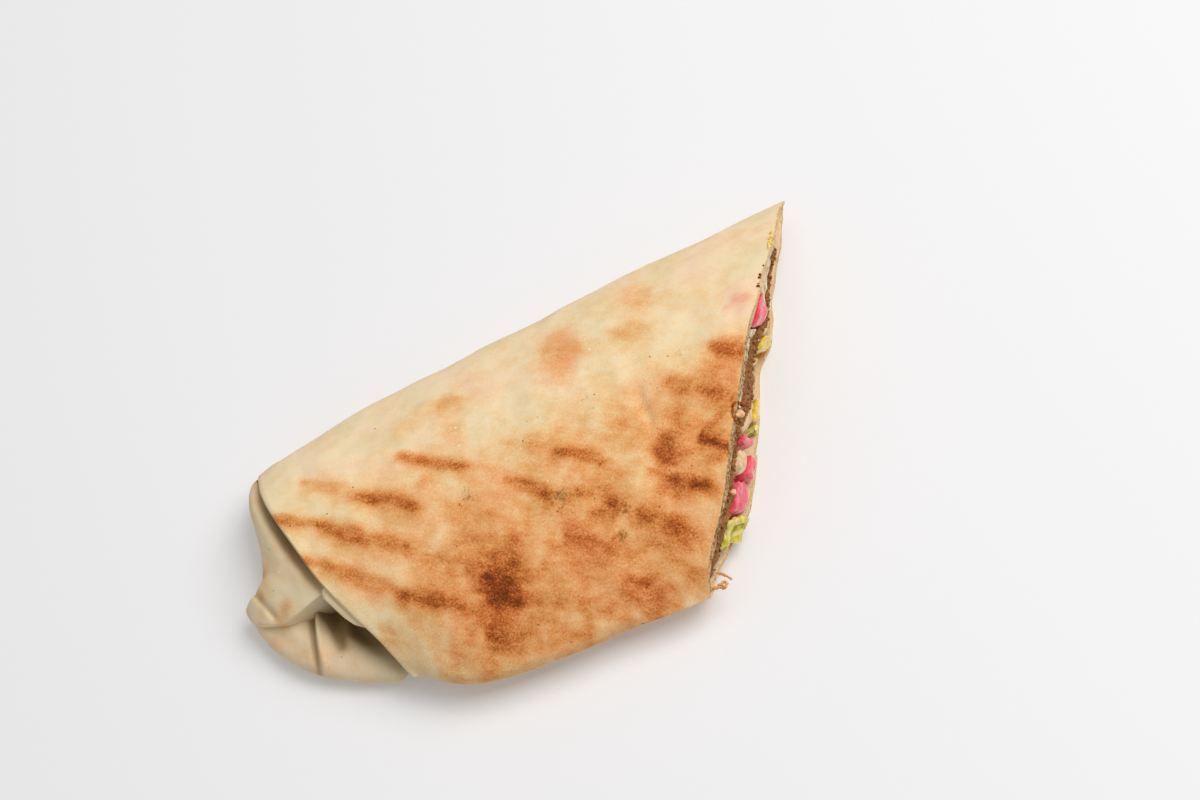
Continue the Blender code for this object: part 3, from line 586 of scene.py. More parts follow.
def toasted_bread():
    """Thin wheat flatbread off a hot grill.

    Dry baked dough with a dusting of flour, so it is matt and pale. Where it touched the ribs it is browned,
    and the brown breaks up into fine grains. Juice stains it pink and burnt flour leaves small dark spots. On
    the top, painted shade lies beside a ridge and in a crease. Under the folded end's rim and in its pleats,
    an olive-brown painted shade stands in for the shadow there.
    """
    material, node = new_material("toasted_flatbread", Roughness=0.78, IOR=1.42, Specular_IOR_Level=0.25)
    toast = node("ShaderNodeAttribute", attribute_name="toast").outputs["Fac"]
    stain = node("ShaderNodeAttribute", attribute_name="stain").outputs["Fac"]
    specks = node("ShaderNodeAttribute", attribute_name="specks").outputs["Fac"]
    where = node("ShaderNodeTexCoord").outputs["Object"]
    grain = node("ShaderNodeTexNoise", {
        "Vector": where, "Scale": per_mm(0.46), "Detail": 2.0, "Roughness": 0.7,
    })
    blotch = node("ShaderNodeTexNoise", {
        "Vector": where, "Scale": per_mm(3.2), "Detail": 3.0, "Roughness": 0.6,
    })
    cloud = node("ShaderNodeTexNoise", {"Vector": where, "Scale": per_mm(9.0)})
    streak_space = node("ShaderNodeMapping", {
        "Vector": where, "Rotation": (0, 0, STREAK_TURN), "Scale": (2.4, 1, 1),
    }, vector_type="TEXTURE")
    streaks = node("ShaderNodeTexNoise", {
        "Vector": streak_space, "Scale": per_mm(1.9), "Detail": 4.0, "Roughness": 0.62,
    })
    gain = node("ShaderNodeMath", (toast, 0.95, 0.22), operation="MULTIPLY_ADD")
    streak_gain = node("ShaderNodeMath", (toast, 0.80, 0.12), operation="MULTIPLY_ADD")
    grain_sway = node("ShaderNodeMath", (grain, 0.5), operation="SUBTRACT")
    blotch_sway = node("ShaderNodeMath", (blotch, 0.5), operation="SUBTRACT")
    cloud_sway = node("ShaderNodeMath", (cloud, 0.5), operation="SUBTRACT")
    grainy = node("ShaderNodeMath", (grain_sway, gain, toast), operation="MULTIPLY_ADD")
    streak_sway = node("ShaderNodeMath", (streaks, 0.5), operation="SUBTRACT")
    streaked = node("ShaderNodeMath", (streak_sway, streak_gain, grainy), operation="MULTIPLY_ADD")
    mottled = node("ShaderNodeMath", (blotch_sway, 0.20, streaked), operation="MULTIPLY_ADD")
    clouded = node("ShaderNodeMath", (cloud_sway, 0.20, mottled), operation="MULTIPLY_ADD")
    browned = node("ShaderNodeValToRGB", (clouded,), stops=(
        (0.0, "#F0DFBE"), (1.0, "#66330E"), (0.10, "#EFD1A3"), (0.26, "#E9B67E"), (0.46, "#DC9556"),
        (0.66, "#BC6A2C"), (0.84, "#8C4316"),
    ))
    tint = node("ShaderNodeTexNoise", {"Vector": where, "Scale": per_mm(15.0), "Detail": 1.0})
    shade = node("ShaderNodeValToRGB", (tint,), stops=(
        (0.38, "#F8F4E8"), (0.64, "#FFF2EC"), (0.5, "#FEF8F0"),
    ))
    tinted = node(
        "ShaderNodeMix", {0: 1.0, 6: browned, 7: shade}, data_type="RGBA", blend_type="MULTIPLY"
    ).outputs[2]
    juice = node("ShaderNodeMath", (blotch, 0.45), operation="ADD")
    soaked = node("ShaderNodeMath", (stain, juice), operation="MULTIPLY", use_clamp=True)
    pinked = node("ShaderNodeMix", {0: soaked, 6: tinted, 7: linear("#E26A60")}, data_type="RGBA").outputs[2]
    smoke = node("ShaderNodeTexNoise", {
        "Vector": where, "Scale": per_mm(0.9), "Detail": 4.0, "Roughness": 0.75,
    })
    smoky = node("ShaderNodeMath", (smoke, specks), operation="ADD")
    # This darkening paints burnt flour, and painted crease shade where a shade area sets it
    smudge = node("ShaderNodeMapRange", {0: smoky, 1: 0.80, 2: 1.06, 4: 0.75})
    smoked = node("ShaderNodeMix", {0: smudge, 6: pinked, 7: linear("#6B4212")}, data_type="RGBA").outputs[2]
    cells = node("ShaderNodeTexVoronoi", {"Vector": where, "Scale": per_mm(1.25)})
    small = node("ShaderNodeMath", (cells.outputs["Distance"], 0.17), operation="LESS_THAN")
    draw = node("ShaderNodeSeparateColor", (cells.outputs["Color"],))
    odds = node("ShaderNodeMath", (specks, 0.006), operation="ADD")
    drawn = node("ShaderNodeMath", (draw, odds), operation="LESS_THAN")
    speck = node("ShaderNodeMath", (small, drawn), operation="MULTIPLY")
    faint = node("ShaderNodeMath", (speck, 0.72), operation="MULTIPLY")
    speckled = node("ShaderNodeMix", {0: faint, 6: smoked, 7: linear("#4A3413")}, data_type="RGBA").outputs[2]
    # Painted shade: olive-brown where the folded end dips under the rim and along its pleats
    damp = node("ShaderNodeAttribute", attribute_name="damp").outputs["Fac"]
    floury = node("ShaderNodeAttribute", attribute_name="floury").outputs["Fac"]
    powder = linear("#EFE0BE")
    powdered = node("ShaderNodeMix", {0: floury, 6: speckled, 7: powder}, data_type="RGBA").outputs[2]
    olive = linear("#7E6232")
    dampened = node("ShaderNodeMix", {0: damp, 6: powdered, 7: olive}, data_type="RGBA").outputs[2]
    flour = node("ShaderNodeTexVoronoi", {"Vector": where, "Scale": per_mm(2.6)})
    dot = node("ShaderNodeMath", (flour.outputs["Distance"], 0.09), operation="LESS_THAN")
    flour_draw = node("ShaderNodeSeparateColor", (flour.outputs["Color"],)).outputs[1]
    few = node("ShaderNodeMath", (flour_draw, 0.04), operation="LESS_THAN")
    dust = node("ShaderNodeMath", (dot, few), operation="MULTIPLY")
    colour = node("ShaderNodeMix", {0: dust, 6: dampened, 7: linear("#FBEBD2")}, data_type="RGBA").outputs[2]
    height = node("ShaderNodeMath", (blotch, 0.5, grain), operation="MULTIPLY_ADD")
    bump = node("ShaderNodeBump", {"Height": height, "Strength": 0.5, "Distance": 0.12 * MM})
    return dress(material, colour, bump)


def bread_crumb():
    """The torn inside of the flatbread where the knife went through: open and dry, smeared with filling."""
    material, node = new_material("flatbread_crumb", Roughness=0.85, IOR=1.4, Specular_IOR_Level=0.25)
    smear = node("ShaderNodeAttribute", attribute_name="smear").outputs["Fac"]
    sauced = node("ShaderNodeAttribute", attribute_name="sauced").outputs["Fac"]
    where = node("ShaderNodeTexCoord").outputs["Object"]
    pores = node("ShaderNodeTexNoise", {
        "Vector": where, "Scale": per_mm(0.55), "Detail": 3.0, "Roughness": 0.7,
    })
    dry = node("ShaderNodeValToRGB", (pores,), stops=((0.3, "#A67C4A"), (0.62, "#EDCB9E"), (0.45, "#D8AF7A")))
    wet = node("ShaderNodeMix", {0: sauced, 6: dry, 7: linear("#C0A97C")}, data_type="RGBA").outputs[2]
    meal = node("ShaderNodeTexNoise", {
        "Vector": where, "Scale": per_mm(0.8), "Detail": 2.0, "Roughness": 0.6,
    })
    reach = node("ShaderNodeMath", (smear, meal), operation="ADD")
    stuck = node("ShaderNodeMapRange", {0: reach, 1: 0.82, 2: 1.14})
    colour = node("ShaderNodeMix", {0: stuck, 6: wet, 7: linear("#7E5028")}, data_type="RGBA").outputs[2]
    bump = node("ShaderNodeBump", {"Height": pores, "Strength": 0.8, "Distance": 0.2 * MM})
    return dress(material, colour, bump)


def fried_falafel():
    """Ground chickpeas with herbs: grey-brown and close inside, dark and crisp on its two fried faces."""
    material, node = new_material("falafel_crumb", Roughness=0.82, IOR=1.42)
    crust = node("ShaderNodeAttribute", attribute_name="crust").outputs["Fac"]
    where = node("ShaderNodeTexCoord").outputs["Object"]
    grain = node("ShaderNodeTexNoise", {
        "Vector": where, "Scale": per_mm(0.55), "Detail": 4.0, "Roughness": 0.7,
    })
    patch = node("ShaderNodeTexNoise", {"Vector": where, "Scale": per_mm(1.9)})
    half_grain = node("ShaderNodeMath", (grain, 0.6), operation="MULTIPLY")
    meal = node("ShaderNodeMath", (patch, 0.4, half_grain), operation="MULTIPLY_ADD")
    inside = node("ShaderNodeValToRGB", (meal,), stops=(
        (0.30, "#583212"), (0.78, "#D8A66C"), (0.46, "#965B28"), (0.62, "#B2743C"),
    ))
    outside = node("ShaderNodeValToRGB", (grain,), stops=(
        (0.34, "#3A2310"), (0.68, "#D0AC74"), (0.46, "#74481E"), (0.56, "#A07038"),
    ))
    mixed = node("ShaderNodeMix", {0: crust, 6: inside, 7: outside}, data_type="RGBA").outputs[2]
    cells = node("ShaderNodeTexVoronoi", {"Vector": where, "Scale": per_mm(1.5)})
    draw = node("ShaderNodeSeparateColor", (cells.outputs["Color"],))
    dot = node("ShaderNodeMath", (cells.outputs["Distance"], 0.22), operation="LESS_THAN")
    low_draw = node("ShaderNodeMath", (draw, 0.16), operation="LESS_THAN")
    high_draw = node("ShaderNodeMath", (draw, 0.88), operation="GREATER_THAN")
    herb = node("ShaderNodeMath", (dot, low_draw), operation="MULTIPLY")
    chip = node("ShaderNodeMath", (dot, high_draw), operation="MULTIPLY")
    herbed = node("ShaderNodeMix", {0: herb, 6: mixed, 7: linear("#56501F")}, data_type="RGBA").outputs[2]
    colour = node("ShaderNodeMix", {0: chip, 6: herbed, 7: linear("#E3C79A")}, data_type="RGBA").outputs[2]
    bump = node("ShaderNodeBump", {"Height": grain, "Strength": 0.9, "Distance": 0.3 * MM})
    return dress(material, colour, bump)


def tahini():
    """Sesame sauce with chopped herbs: thick and cream-coloured with dark green flecks, and softly shiny."""
    material, node = new_material(
        "tahini_sauce", Roughness=0.38, IOR=1.47, Subsurface_Weight=0.15, Subsurface_Scale=1.0 * MM
    )
    where = node("ShaderNodeTexCoord").outputs["Object"]
    patch = node("ShaderNodeTexNoise", {
        "Vector": where, "Scale": per_mm(1.7), "Detail": 2.0, "Roughness": 0.5,
    })
    cream = node("ShaderNodeValToRGB", (patch,), stops=(
        (0.30, "#A08E5C"), (0.72, "#F2E0BE"), (0.44, "#CFB788"), (0.56, "#E2CA9E"),
    ))
    cells = node("ShaderNodeTexVoronoi", {"Vector": where, "Scale": per_mm(0.95)})
    draw = node("ShaderNodeSeparateColor", (cells.outputs["Color"],))
    dot = node("ShaderNodeMath", (cells.outputs["Distance"], 0.24), operation="LESS_THAN")
    low_draw = node("ShaderNodeMath", (draw, 0.2), operation="LESS_THAN")
    herb = node("ShaderNodeMath", (dot, low_draw), operation="MULTIPLY")
    colour = node("ShaderNodeMix", {0: herb, 6: cream, 7: linear("#4C4A22")}, data_type="RGBA").outputs[2]
    bump = node("ShaderNodeBump", {"Height": patch, "Strength": 0.25, "Distance": 0.2 * MM})
    return dress(material, colour, bump)


def wet_vegetable(name, stops, size, see_through, roughness=0.22):
    """Cut vegetable flesh, wet with brine or juice: glossy, with light that goes a little way in."""
    material, node = new_material(
        name, Roughness=roughness, IOR=1.38, Subsurface_Weight=see_through, Subsurface_Scale=1.5 * MM,
        Coat_Weight=0.35, Coat_Roughness=0.12,
    )
    where = node("ShaderNodeTexCoord").outputs["Object"]
    fibres = node("ShaderNodeTexNoise", {
        "Vector": where, "Scale": per_mm(size), "Detail": 3.0, "Roughness": 0.55,
    })
    colour = node("ShaderNodeValToRGB", (fibres,), stops=stops)
    bump = node("ShaderNodeBump", {"Height": fibres, "Strength": 0.35, "Distance": 0.25 * MM})
    return dress(material, colour.outputs[0], bump)


def leaf_flesh(name, colours, rib_colour):
    """Crisp lettuce: soft patches of colour between paler ribs, thin enough for light to pass."""
    material, node = new_material(
        name, Roughness=0.34, IOR=1.4, Subsurface_Weight=0.3, Subsurface_Scale=1.2 * MM
    )
    rib = node("ShaderNodeAttribute", attribute_name="rib").outputs["Fac"]
    where = node("ShaderNodeTexCoord").outputs["Object"]
    patch = node("ShaderNodeTexNoise", {
        "Vector": where, "Scale": per_mm(1.6), "Detail": 3.0, "Roughness": 0.6,
    })
    flesh = node("ShaderNodeValToRGB", (patch,), stops=(
        (0.32, colours[0]), (0.68, colours[2]), (0.5, colours[1]),
    ))
    colour = node("ShaderNodeMix", {0: rib, 6: flesh, 7: linear(rib_colour)}, data_type="RGBA").outputs[2]
    bump = node("ShaderNodeBump", {"Height": patch, "Strength": 0.4, "Distance": 0.3 * MM})
    return dress(material, colour, bump)


# The flatbread


def grill_marks(x, y):
    """How brown the hot grill has made the top, from 0 to 1, with one mark of painted ridge shade among the
    marks. Each mark tapers to both its ends.
    """
    flat = np.stack([x, y, np.zeros_like(x)], axis=1)
    wide = relief(flat, 7 * MM, 1)
    fine = relief(flat, 2.6 * MM, 2)
    shifted_x = x + (0.5 * wide + 0.4 * fine) * MM
    shifted_y = y + (0.5 * relief(flat, 7 * MM, 3) + 0.4 * relief(flat, 2.6 * MM, 4)) * MM
    patchy = np.clip(1 + 0.16 * relief(flat, 5 * MM, 5) + 0.14 * fine, 0.3, 1.3)
    clear = np.ones_like(x)
    for start, end, width, strength in TOP_MARKS:
        away, along = off_line(shifted_x, shifted_y, start, end)
        below, _ = off_line(shifted_x, shifted_y + MARK_DRAG * width * MM, start, end)
        tapered = width * MM * (0.55 + 0.45 * np.sin(math.pi * np.clip(along, 0, 1)))
        core = np.exp(-((away / tapered) ** 3))
        halo = np.exp(-((below / (1.9 * tapered)) ** 2))
        clear *= 1 - np.clip(strength * patchy * (MARK_CORE * core + MARK_HALO * halo), 0, 0.95)
    for (cx, cy), (rx, ry), strength in TAN_AREAS:
        reach = ((shifted_x - cx * MM) / (rx * MM)) ** 2 + ((shifted_y - cy * MM) / (ry * MM)) ** 2
        clear *= 1 - strength * np.exp(-reach) * np.clip(1 + 0.42 * wide + 0.30 * fine, 0.15, 1.8)
    return 1 - clear


def rib_marks(x, y, seed):
    """Marks of a ribbed grill for the underside: broken parallel stripes."""
    flat = np.stack([x, y, np.zeros_like(x)], axis=1)
    run = (y - GRILL_SLOPE * x) / math.hypot(1, GRILL_SLOPE) / GRILL_PITCH
    run = run + 0.12 * relief(flat, 12 * MM, seed)
    stripe = np.exp(-(((run % 1.0 - 0.5) / 0.16) ** 2))
    broken = ease(0.55 + 0.9 * relief(flat, 13 * MM, seed + 1))
    tan = 0.16 + 0.14 * relief(flat, 10 * MM, seed + 2)
    return np.clip(0.62 * stripe * broken + tan, 0, 1)


def bread_angle(u):
    """Places the mesh's columns round the roll, most of them on the outer turn."""
    outer = SEAM_ANGLE + (OUTER_TURN_END - SEAM_ANGLE) * np.clip(u / OUTER_TURN_SHARE, 0, 1)
    inner = (u - OUTER_TURN_SHARE) / (1 - OUTER_TURN_SHARE)
    return np.where(u <= OUTER_TURN_SHARE, outer, OUTER_TURN_END + (INNER_END_ANGLE - OUTER_TURN_END) * inner)


def bread_relief(angle, x):
    """How far the bread stands out over the filling, or is drawn in along a crease."""
    points = np.stack(roll_point(angle, x, np.zeros_like(x)), axis=1)
    top = ease(np.sin(angle) / 0.35)
    bumps = sum(height * relief(points, size * MM, seed) for size, height, seed in SWELLING)
    # The sides are drawn in between the folds, the near one less towards the cut
    drawn_in = 0.8 - 0.6 * np.cos(angle) - 0.65 * ease(x / (20 * MM)) * (1 - np.cos(angle))
    side = ease(1 - np.abs(np.sin(angle)) / 0.4) * (0.5 * relief(points, 17 * MM, 14) - drawn_in)
    push = creased(points[:, 0], points[:, 1], TOP_CREASES)
    return (bumps * (0.25 + 0.75 * top) * ease((np.sin(angle) + 1) / 0.4) + side) * MM - push * top


def make_roll(bread, crumb):
    """The flatbread, one slab rolled up, with the torn crumb of the bread on its cut edge."""

    def place(u, v, w):
        angle = bread_angle(u)
        inset = layer_inset(angle) + BREAD * w
        ends = (2 * w - 1) ** 2
        start = rim_x(angle) + EDGE_ROUND * ends
        end = cut_point(angle, inset) - 0.5 * EDGE_ROUND * ends
        x = start + (end - start) * v
        ragged = relief(np.stack([angle * BREAD_RADIUS, w * BREAD, 0 * x], axis=1), 1.3 * MM, 21)
        wavy = relief(np.stack([angle * BREAD_RADIUS, 0 * x, 0 * x], axis=1), 9 * MM, 22)
        x = x + CUT_RAGGED * ragged * ease((v - 0.97) / 0.03)
        x = x + RIM_WAVE * wavy * ease(1 - v / 0.08)
        bulge = bread_relief(angle, x) * ease(v / 0.03)
        return roll_point(angle, x, inset - bulge)

    roll, (u, v, w) = model_slab("flatbread_roll", (300, 150, 3), place)
    roll.data.materials.append(bread)
    paint_faces(roll, v > 0.999, crumb)
    points = read_points(roll)
    x, y = points[:, 0] + FOOTPRINT_MIDDLE[0], points[:, 1] + FOOTPRINT_MIDDLE[1]
    angle = bread_angle(u)
    up = np.sin(angle)
    top = ease((up + 0.3) / 0.25) * (angle > -0.35)
    # The top's toast carries that one mark of painted ridge shade along with the browning
    toast = grill_marks(x, y) * top + rib_marks(x, y, 31) * ease(-up / 0.5)
    inner = ease((RAMP_START_ANGLE - angle) / (20 * DEGREE))
    keep_attribute(roll, "toast", toast * (1 - 0.9 * inner) * (1 - 0.6 * w))
    keep_attribute(roll, "stain", spotted(x, y, STAINS) * top)
    # Burnt flour on the top, and painted shade in one crease
    keep_attribute(roll, "specks", spotted(x, y, SPECK_AREAS) * top)
    upper = 0.25 + 0.75 * ease(up / 0.2)
    keep_attribute(roll, "smear", smooth_line(CUT_SMEAR, cut_share(y)) * upper)
    keep_attribute(roll, "sauced", smooth_line(CUT_SAUCE, cut_share(y)) * upper)
    finish_piece(roll, "flatbread", "flatbread")


def mark_folded_end(thing, depths, width, creases):
    """Leaves the folded end pale and floury, and paints olive-brown shade into its dips under the rim and its
    pleats, on its upper side only.
    """
    points = read_points(thing)
    x, y = points[:, 0] + FOOTPRINT_MIDDLE[0], points[:, 1] + FOOTPRINT_MIDDLE[1]
    pale = 0.05 + 0.05 * relief(points, 6 * MM, 41) + 0.04 * relief(points, 2.5 * MM, 42)
    spots = spotted(x, y, END_SPOTS)
    keep_attribute(thing, "toast", np.clip(pale + spots, 0, 1))
    keep_attribute(thing, "stain", np.zeros_like(x))
    keep_attribute(thing, "specks", np.full_like(x, 0.01))
    keep_attribute(thing, "floury", 0.36 * (1 - spots))
    # Painted shade, deepest in the dips under the rim and in the pleats
    deep = under_rim(x, y, depths, width) + creased(x, y, creases)
    on_roof = ease(2 * points[:, 2] / LOWER_SIDE - 1)
    keep_attribute(thing, "damp", np.clip(deep / DAMP_DEPTH, 0, 0.85) * on_roof)


def pleated(x, y):
    """The pleats in the lower lobe: a valley along each line, with a swelling on its +X side."""
    rise = np.zeros_like(x)
    for (x0, y0), (x1, y1), depth, width in LOWER_PLEATS:
        length = math.hypot(x1 - x0, y1 - y0)
        px, py = x / MM - x0, y / MM - y0
        along = (px * (x1 - x0) + py * (y1 - y0)) / length**2
        aside = (py * (x1 - x0) - px * (y1 - y0)) / length
        fade = ease((along + 0.5) / 0.6) * ease((1.25 - along) / 0.4)
        valley = np.exp(-((aside / width) ** 2))
        swell = np.exp(-(((aside - 1.9 * width) / width) ** 2))
        rise += (LOWER_RIDGE * depth / 1.8 * swell - depth * MM * valley) * fade
    return rise


def rim_gap(x, y):
    """How far outside the rim a point is; the roll covers it where that is below 0."""
    near, far = near_edge(x), far_edge(x)
    across = np.clip((y - (near + far) / 2) / ((far - near) / 2), -1, 1)
    return rim_x(np.arccos(across)) - x


def under_rim(x, y, depths, width):
    """How far a lobe dips where the rim overhangs it."""
    return smooth_line(depths, y / MM) * MM * np.exp(-((rim_gap(x, y) / width) ** 2))


def make_lower_lobe(bread):
    """The tucked folds that lie on the table, as one pleated cushion."""
    count = len(LOWER_OUTLINE)
    ring = [(k / count, x, y) for k, (x, y) in enumerate(LOWER_OUTLINE)]
    ring = [(s - 1, x, y) for s, x, y in ring[-3:]] + ring + [(s + 1, x, y) for s, x, y in ring[:4]]
    outline_x = [(s, x) for s, x, y in ring]
    outline_y = [(s, y) for s, x, y in ring]

    def place(turn, share, top):
        edge_x, edge_y = smooth_line(outline_x, turn) * MM, smooth_line(outline_y, turn) * MM
        x = LOWER_CENTRE[0] + (edge_x - LOWER_CENTRE[0]) * share
        y = LOWER_CENTRE[1] + (edge_y - LOWER_CENTRE[1]) * share
        flat = np.stack([x, y, 0 * x], axis=1)
        wrinkles = (0.28 * relief(flat, 5 * MM, 51) + 0.10 * relief(flat, 2 * MM, 52)) * MM
        dip = under_rim(x, y, LOWER_HOLLOW, LOWER_HOLLOW_WIDTH)
        rise = LOWER_HEIGHT - LOWER_SIDE + pleated(x, y) + wrinkles - dip
        roof = LOWER_SIDE + rise * np.maximum(0, 1 - share**3.2) ** 0.5
        lift = (LAYER + BREAD / 2) * ease((x + 52 * MM) / (6 * MM))
        floor = LOWER_SIDE - (LOWER_SIDE - END_FLOOR_GAP - lift) * np.maximum(0, 1 - share**5) ** 0.5
        # On the far side the roll curves up from the table, and the lobe stays inside it
        inside = np.minimum(roll_height(x, y, BREAD / 2)[0], LOWER_SIDE)
        floor = np.where((rim_gap(x, y) < 0) & (y > 0), np.maximum(floor, inside), floor)
        return x, y, np.where(top, roof, floor)

    lobe = model_pad("folded_end_lower", 200, 120, place)
    lobe.data.materials.append(bread)
    mark_folded_end(lobe, LOWER_HOLLOW, 1.6 * LOWER_HOLLOW_WIDTH, LOWER_PLEATS)
    finish_piece(lobe, "flatbread", "flatbread")


def make_upper_lobe(bread):
    """The flap that is folded down over the lower lobe, from inside the roll to its free edge."""
    edge_lines = [[(point[0], point[axis]) for point in UPPER_EDGE] for axis in (1, 2, 3)]
    root_lines = [[(point[0], point[axis]) for point in UPPER_ROOT] for axis in (1, 2)]

    def place(u, v, w):
        edge = [smooth_line(line, u) * MM for line in edge_lines]
        root = [smooth_line(line, u) * MM for line in root_lines]
        reach = np.sin(v * math.pi / 2)
        x = root[0] + (edge[0] - root[0]) * reach
        y = root[1] + (edge[1] - root[1]) * reach
        away = np.hypot(edge[0] - root[0], edge[1] - root[1])
        rounding = 0.7 * UPPER_EDGE_HALF * (1 - (2 * w - 1) ** 2) * ease((v - 0.9) / 0.1) / away
        x, y = x + (edge[0] - root[0]) * rounding, y + (edge[1] - root[1]) * rounding
        lifted = 1 - np.maximum(0, 1 - reach**4) ** 0.5
        floor = UPPER_FLOOR + (edge[2] - UPPER_EDGE_HALF - UPPER_FLOOR) * lifted
        roof = roll_height(root[0], root[1], LAYER + 0.4 * BREAD)[1]
        power = smooth_line(UPPER_ROUND, u)
        low = edge[2] + UPPER_EDGE_HALF
        top = low + (roof - low) * np.maximum(0, 1 - reach ** (power + 0.4)) ** (1 / power)
        flat = np.stack([x, y, 0 * x], axis=1)
        soft = (0.22 * relief(flat, 5 * MM, 61) + 0.08 * relief(flat, 2.1 * MM, 62)) * MM
        dips = creased(x, y, UPPER_CREASES) + under_rim(x, y, UPPER_HOLLOW, UPPER_HOLLOW_WIDTH)
        top = top + (soft - dips) * ease((1 - v) / 0.08)
        # Where the roll covers the lobe, the lobe stays inside it
        covered = rim_gap(x, y) < 0
        lowest, highest = roll_height(x, y, BREAD)
        top = np.where(covered, np.minimum(top, highest - UPPER_CLEARANCE), top)
        raised = np.minimum(np.maximum(floor, lowest + UPPER_CLEARANCE), top - 2 * UPPER_CLEARANCE)
        floor = np.where(covered, raised, floor)
        return x, y, floor + (top - floor) * w

    lobe, _ = model_slab("folded_end_upper", (170, 90, 4), place)
    lobe.data.materials.append(bread)
    mark_folded_end(lobe, UPPER_HOLLOW, UPPER_HOLLOW_WIDTH, UPPER_CREASES)
    finish_piece(lobe, "flatbread", "flatbread")


# The filling


def falafel_band(x, share):
    """(lowest, highest) z of the falafel at x and at this share across the hollow."""
    lump = 1 + FALAFEL_LUMP * np.cos(2 * math.pi * (x - FIRST_FALAFEL_X) / FALAFEL_LENGTH)
    middle = smooth_line(FALAFEL_MIDDLE, share) * MM
    half = smooth_line(FALAFEL_HALF, share) * MM * lump
    return middle - half, middle + half


def hollow_y(x, share):
    """The y at this share across the hollow for the filling."""
    near, far = near_edge(x) + CAVITY, far_edge(x) - CAVITY
    return (near + far) / 2 + (far - near) / 2 * share


def falafel_limits(x, share):
    low, high = falafel_band(x, share)
    floor, roof = roll_height(x, hollow_y(x, share), CAVITY)
    return np.maximum(low, floor), np.minimum(high, roof)


def above_falafel(x, share):
    return falafel_band(x, share)[1] + AIR, roll_height(x, hollow_y(x, share), CAVITY)[1]


def below_falafel(x, share):
    return roll_height(x, hollow_y(x, share), CAVITY)[0], falafel_band(x, share)[0] - AIR


def cell_point(limits, start, proud, share, level, along):
    """Points of the filling: share across, level up between its limits, and along from start to the cut."""
    x = start + 0 * share
    for _ in range(6):
        y = hollow_y(x, share)
        low, high = limits(x, share)
        z = low + (high - low) * level
        x = start + (cut_x(y, z) + proud - start) * along
    return x, y, z


def cell_share(floor, roof, across, level):
    """The share at this place across a cell, whose two sides are floor at its bottom and roof at its top."""
    left = floor[0] + (roof[0] - floor[0]) * level
    right = floor[1] + (roof[1] - floor[1]) * level
    return left + (right - left) * across


def towards_cut(v):
    """Crowds the mesh's rows towards the cut face, where they show."""
    return 1 - (1 - v) ** 2.2


def at_cut(along):
    """0 along a piece of the filling, rising to 1 at its cut face."""
    return ease((along - 0.93) / 0.07)


def make_layer(name, counts, floor, roof, limits, start, craggy, material, slot):
    """A layer that runs through the wrap, with a crumbly cut face."""

    def place(u, v, w):
        share = cell_share(floor, roof, u, w)
        along = towards_cut(v)
        x, y, z = cell_point(limits, start, np.zeros_like(u), share, w, along)
        points = np.stack([x, y, z], axis=1)
        coarse, fine, sunk = craggy
        crags = coarse * relief(points, 2.4 * MM, 71) + fine * relief(points, 0.9 * MM, 72) - sunk
        edge = (2 * w - 1) ** 6
        return x + (crags - 0.4 * MM * edge) * at_cut(along), y, z

    layer, (u, v, w) = model_slab(name, counts, place)
    layer.data.materials.append(material)
    skin = np.exp(-np.minimum(w, 1 - w) / 0.11)
    end_patch = 0.5 + 0.5 * relief(read_points(layer), 1.4 * MM, 73)
    keep_attribute(layer, "crust", np.clip(skin * 1.1 + (end_patch - 0.72) * 0.8, 0, 1))
    finish_piece(layer, slot, name)


def make_stick(name, floor, roof, levels, limits, start, proud, material, slot):
    """A stick of vegetable with softened corners and an uneven knife cut."""

    def place(u, v, w):
        a, b = 2 * u - 1, 2 * w - 1
        rise = 0.5 + 0.5 * b * np.sqrt(1 - STICK_ROUND * a * a)
        share = cell_share(floor, roof, 0.5 + 0.5 * a * np.sqrt(1 - STICK_ROUND * b * b), rise)
        level = levels[0] + (levels[1] - levels[0]) * rise
        along = towards_cut(v)
        x, y, z = cell_point(limits, start, proud + 0 * u, share, level, along)
        points = np.stack([x, y, z], axis=1)
        uneven = 0.35 * MM * relief(points, 3 * MM, 81) - 0.5 * MM * np.maximum(a**6, b**6)
        return x + uneven * at_cut(along), y + 0.12 * MM * relief(points, 2.5 * MM, 82), z

    stick, _ = model_slab(name, (14, 30, 20), place)
    stick.data.materials.append(material)
    finish_piece(stick, slot, name)


def folded_line(t, width, height, layers):
    """A line folded to and fro in a box that big: its points and normals at t from 0 to 1."""
    pitch = height / (layers - 1)
    run, bend = width - pitch, math.pi * pitch / 2
    distance = t * (layers * run + (layers - 1) * bend)
    layer = np.minimum(layers - 1, np.floor(distance / (run + bend)))
    rest = distance - layer * (run + bend)
    way = np.where(layer % 2 == 0, 1.0, -1.0)
    turn = np.clip((rest - run) / bend, 0, 1) * math.pi
    across = np.where(rest <= run, rest - run / 2, run / 2 + pitch / 2 * np.sin(turn))
    level = layer * pitch + pitch / 2 * (1 - np.cos(turn))
    return way * across, level, -np.sin(turn), way * np.cos(turn)


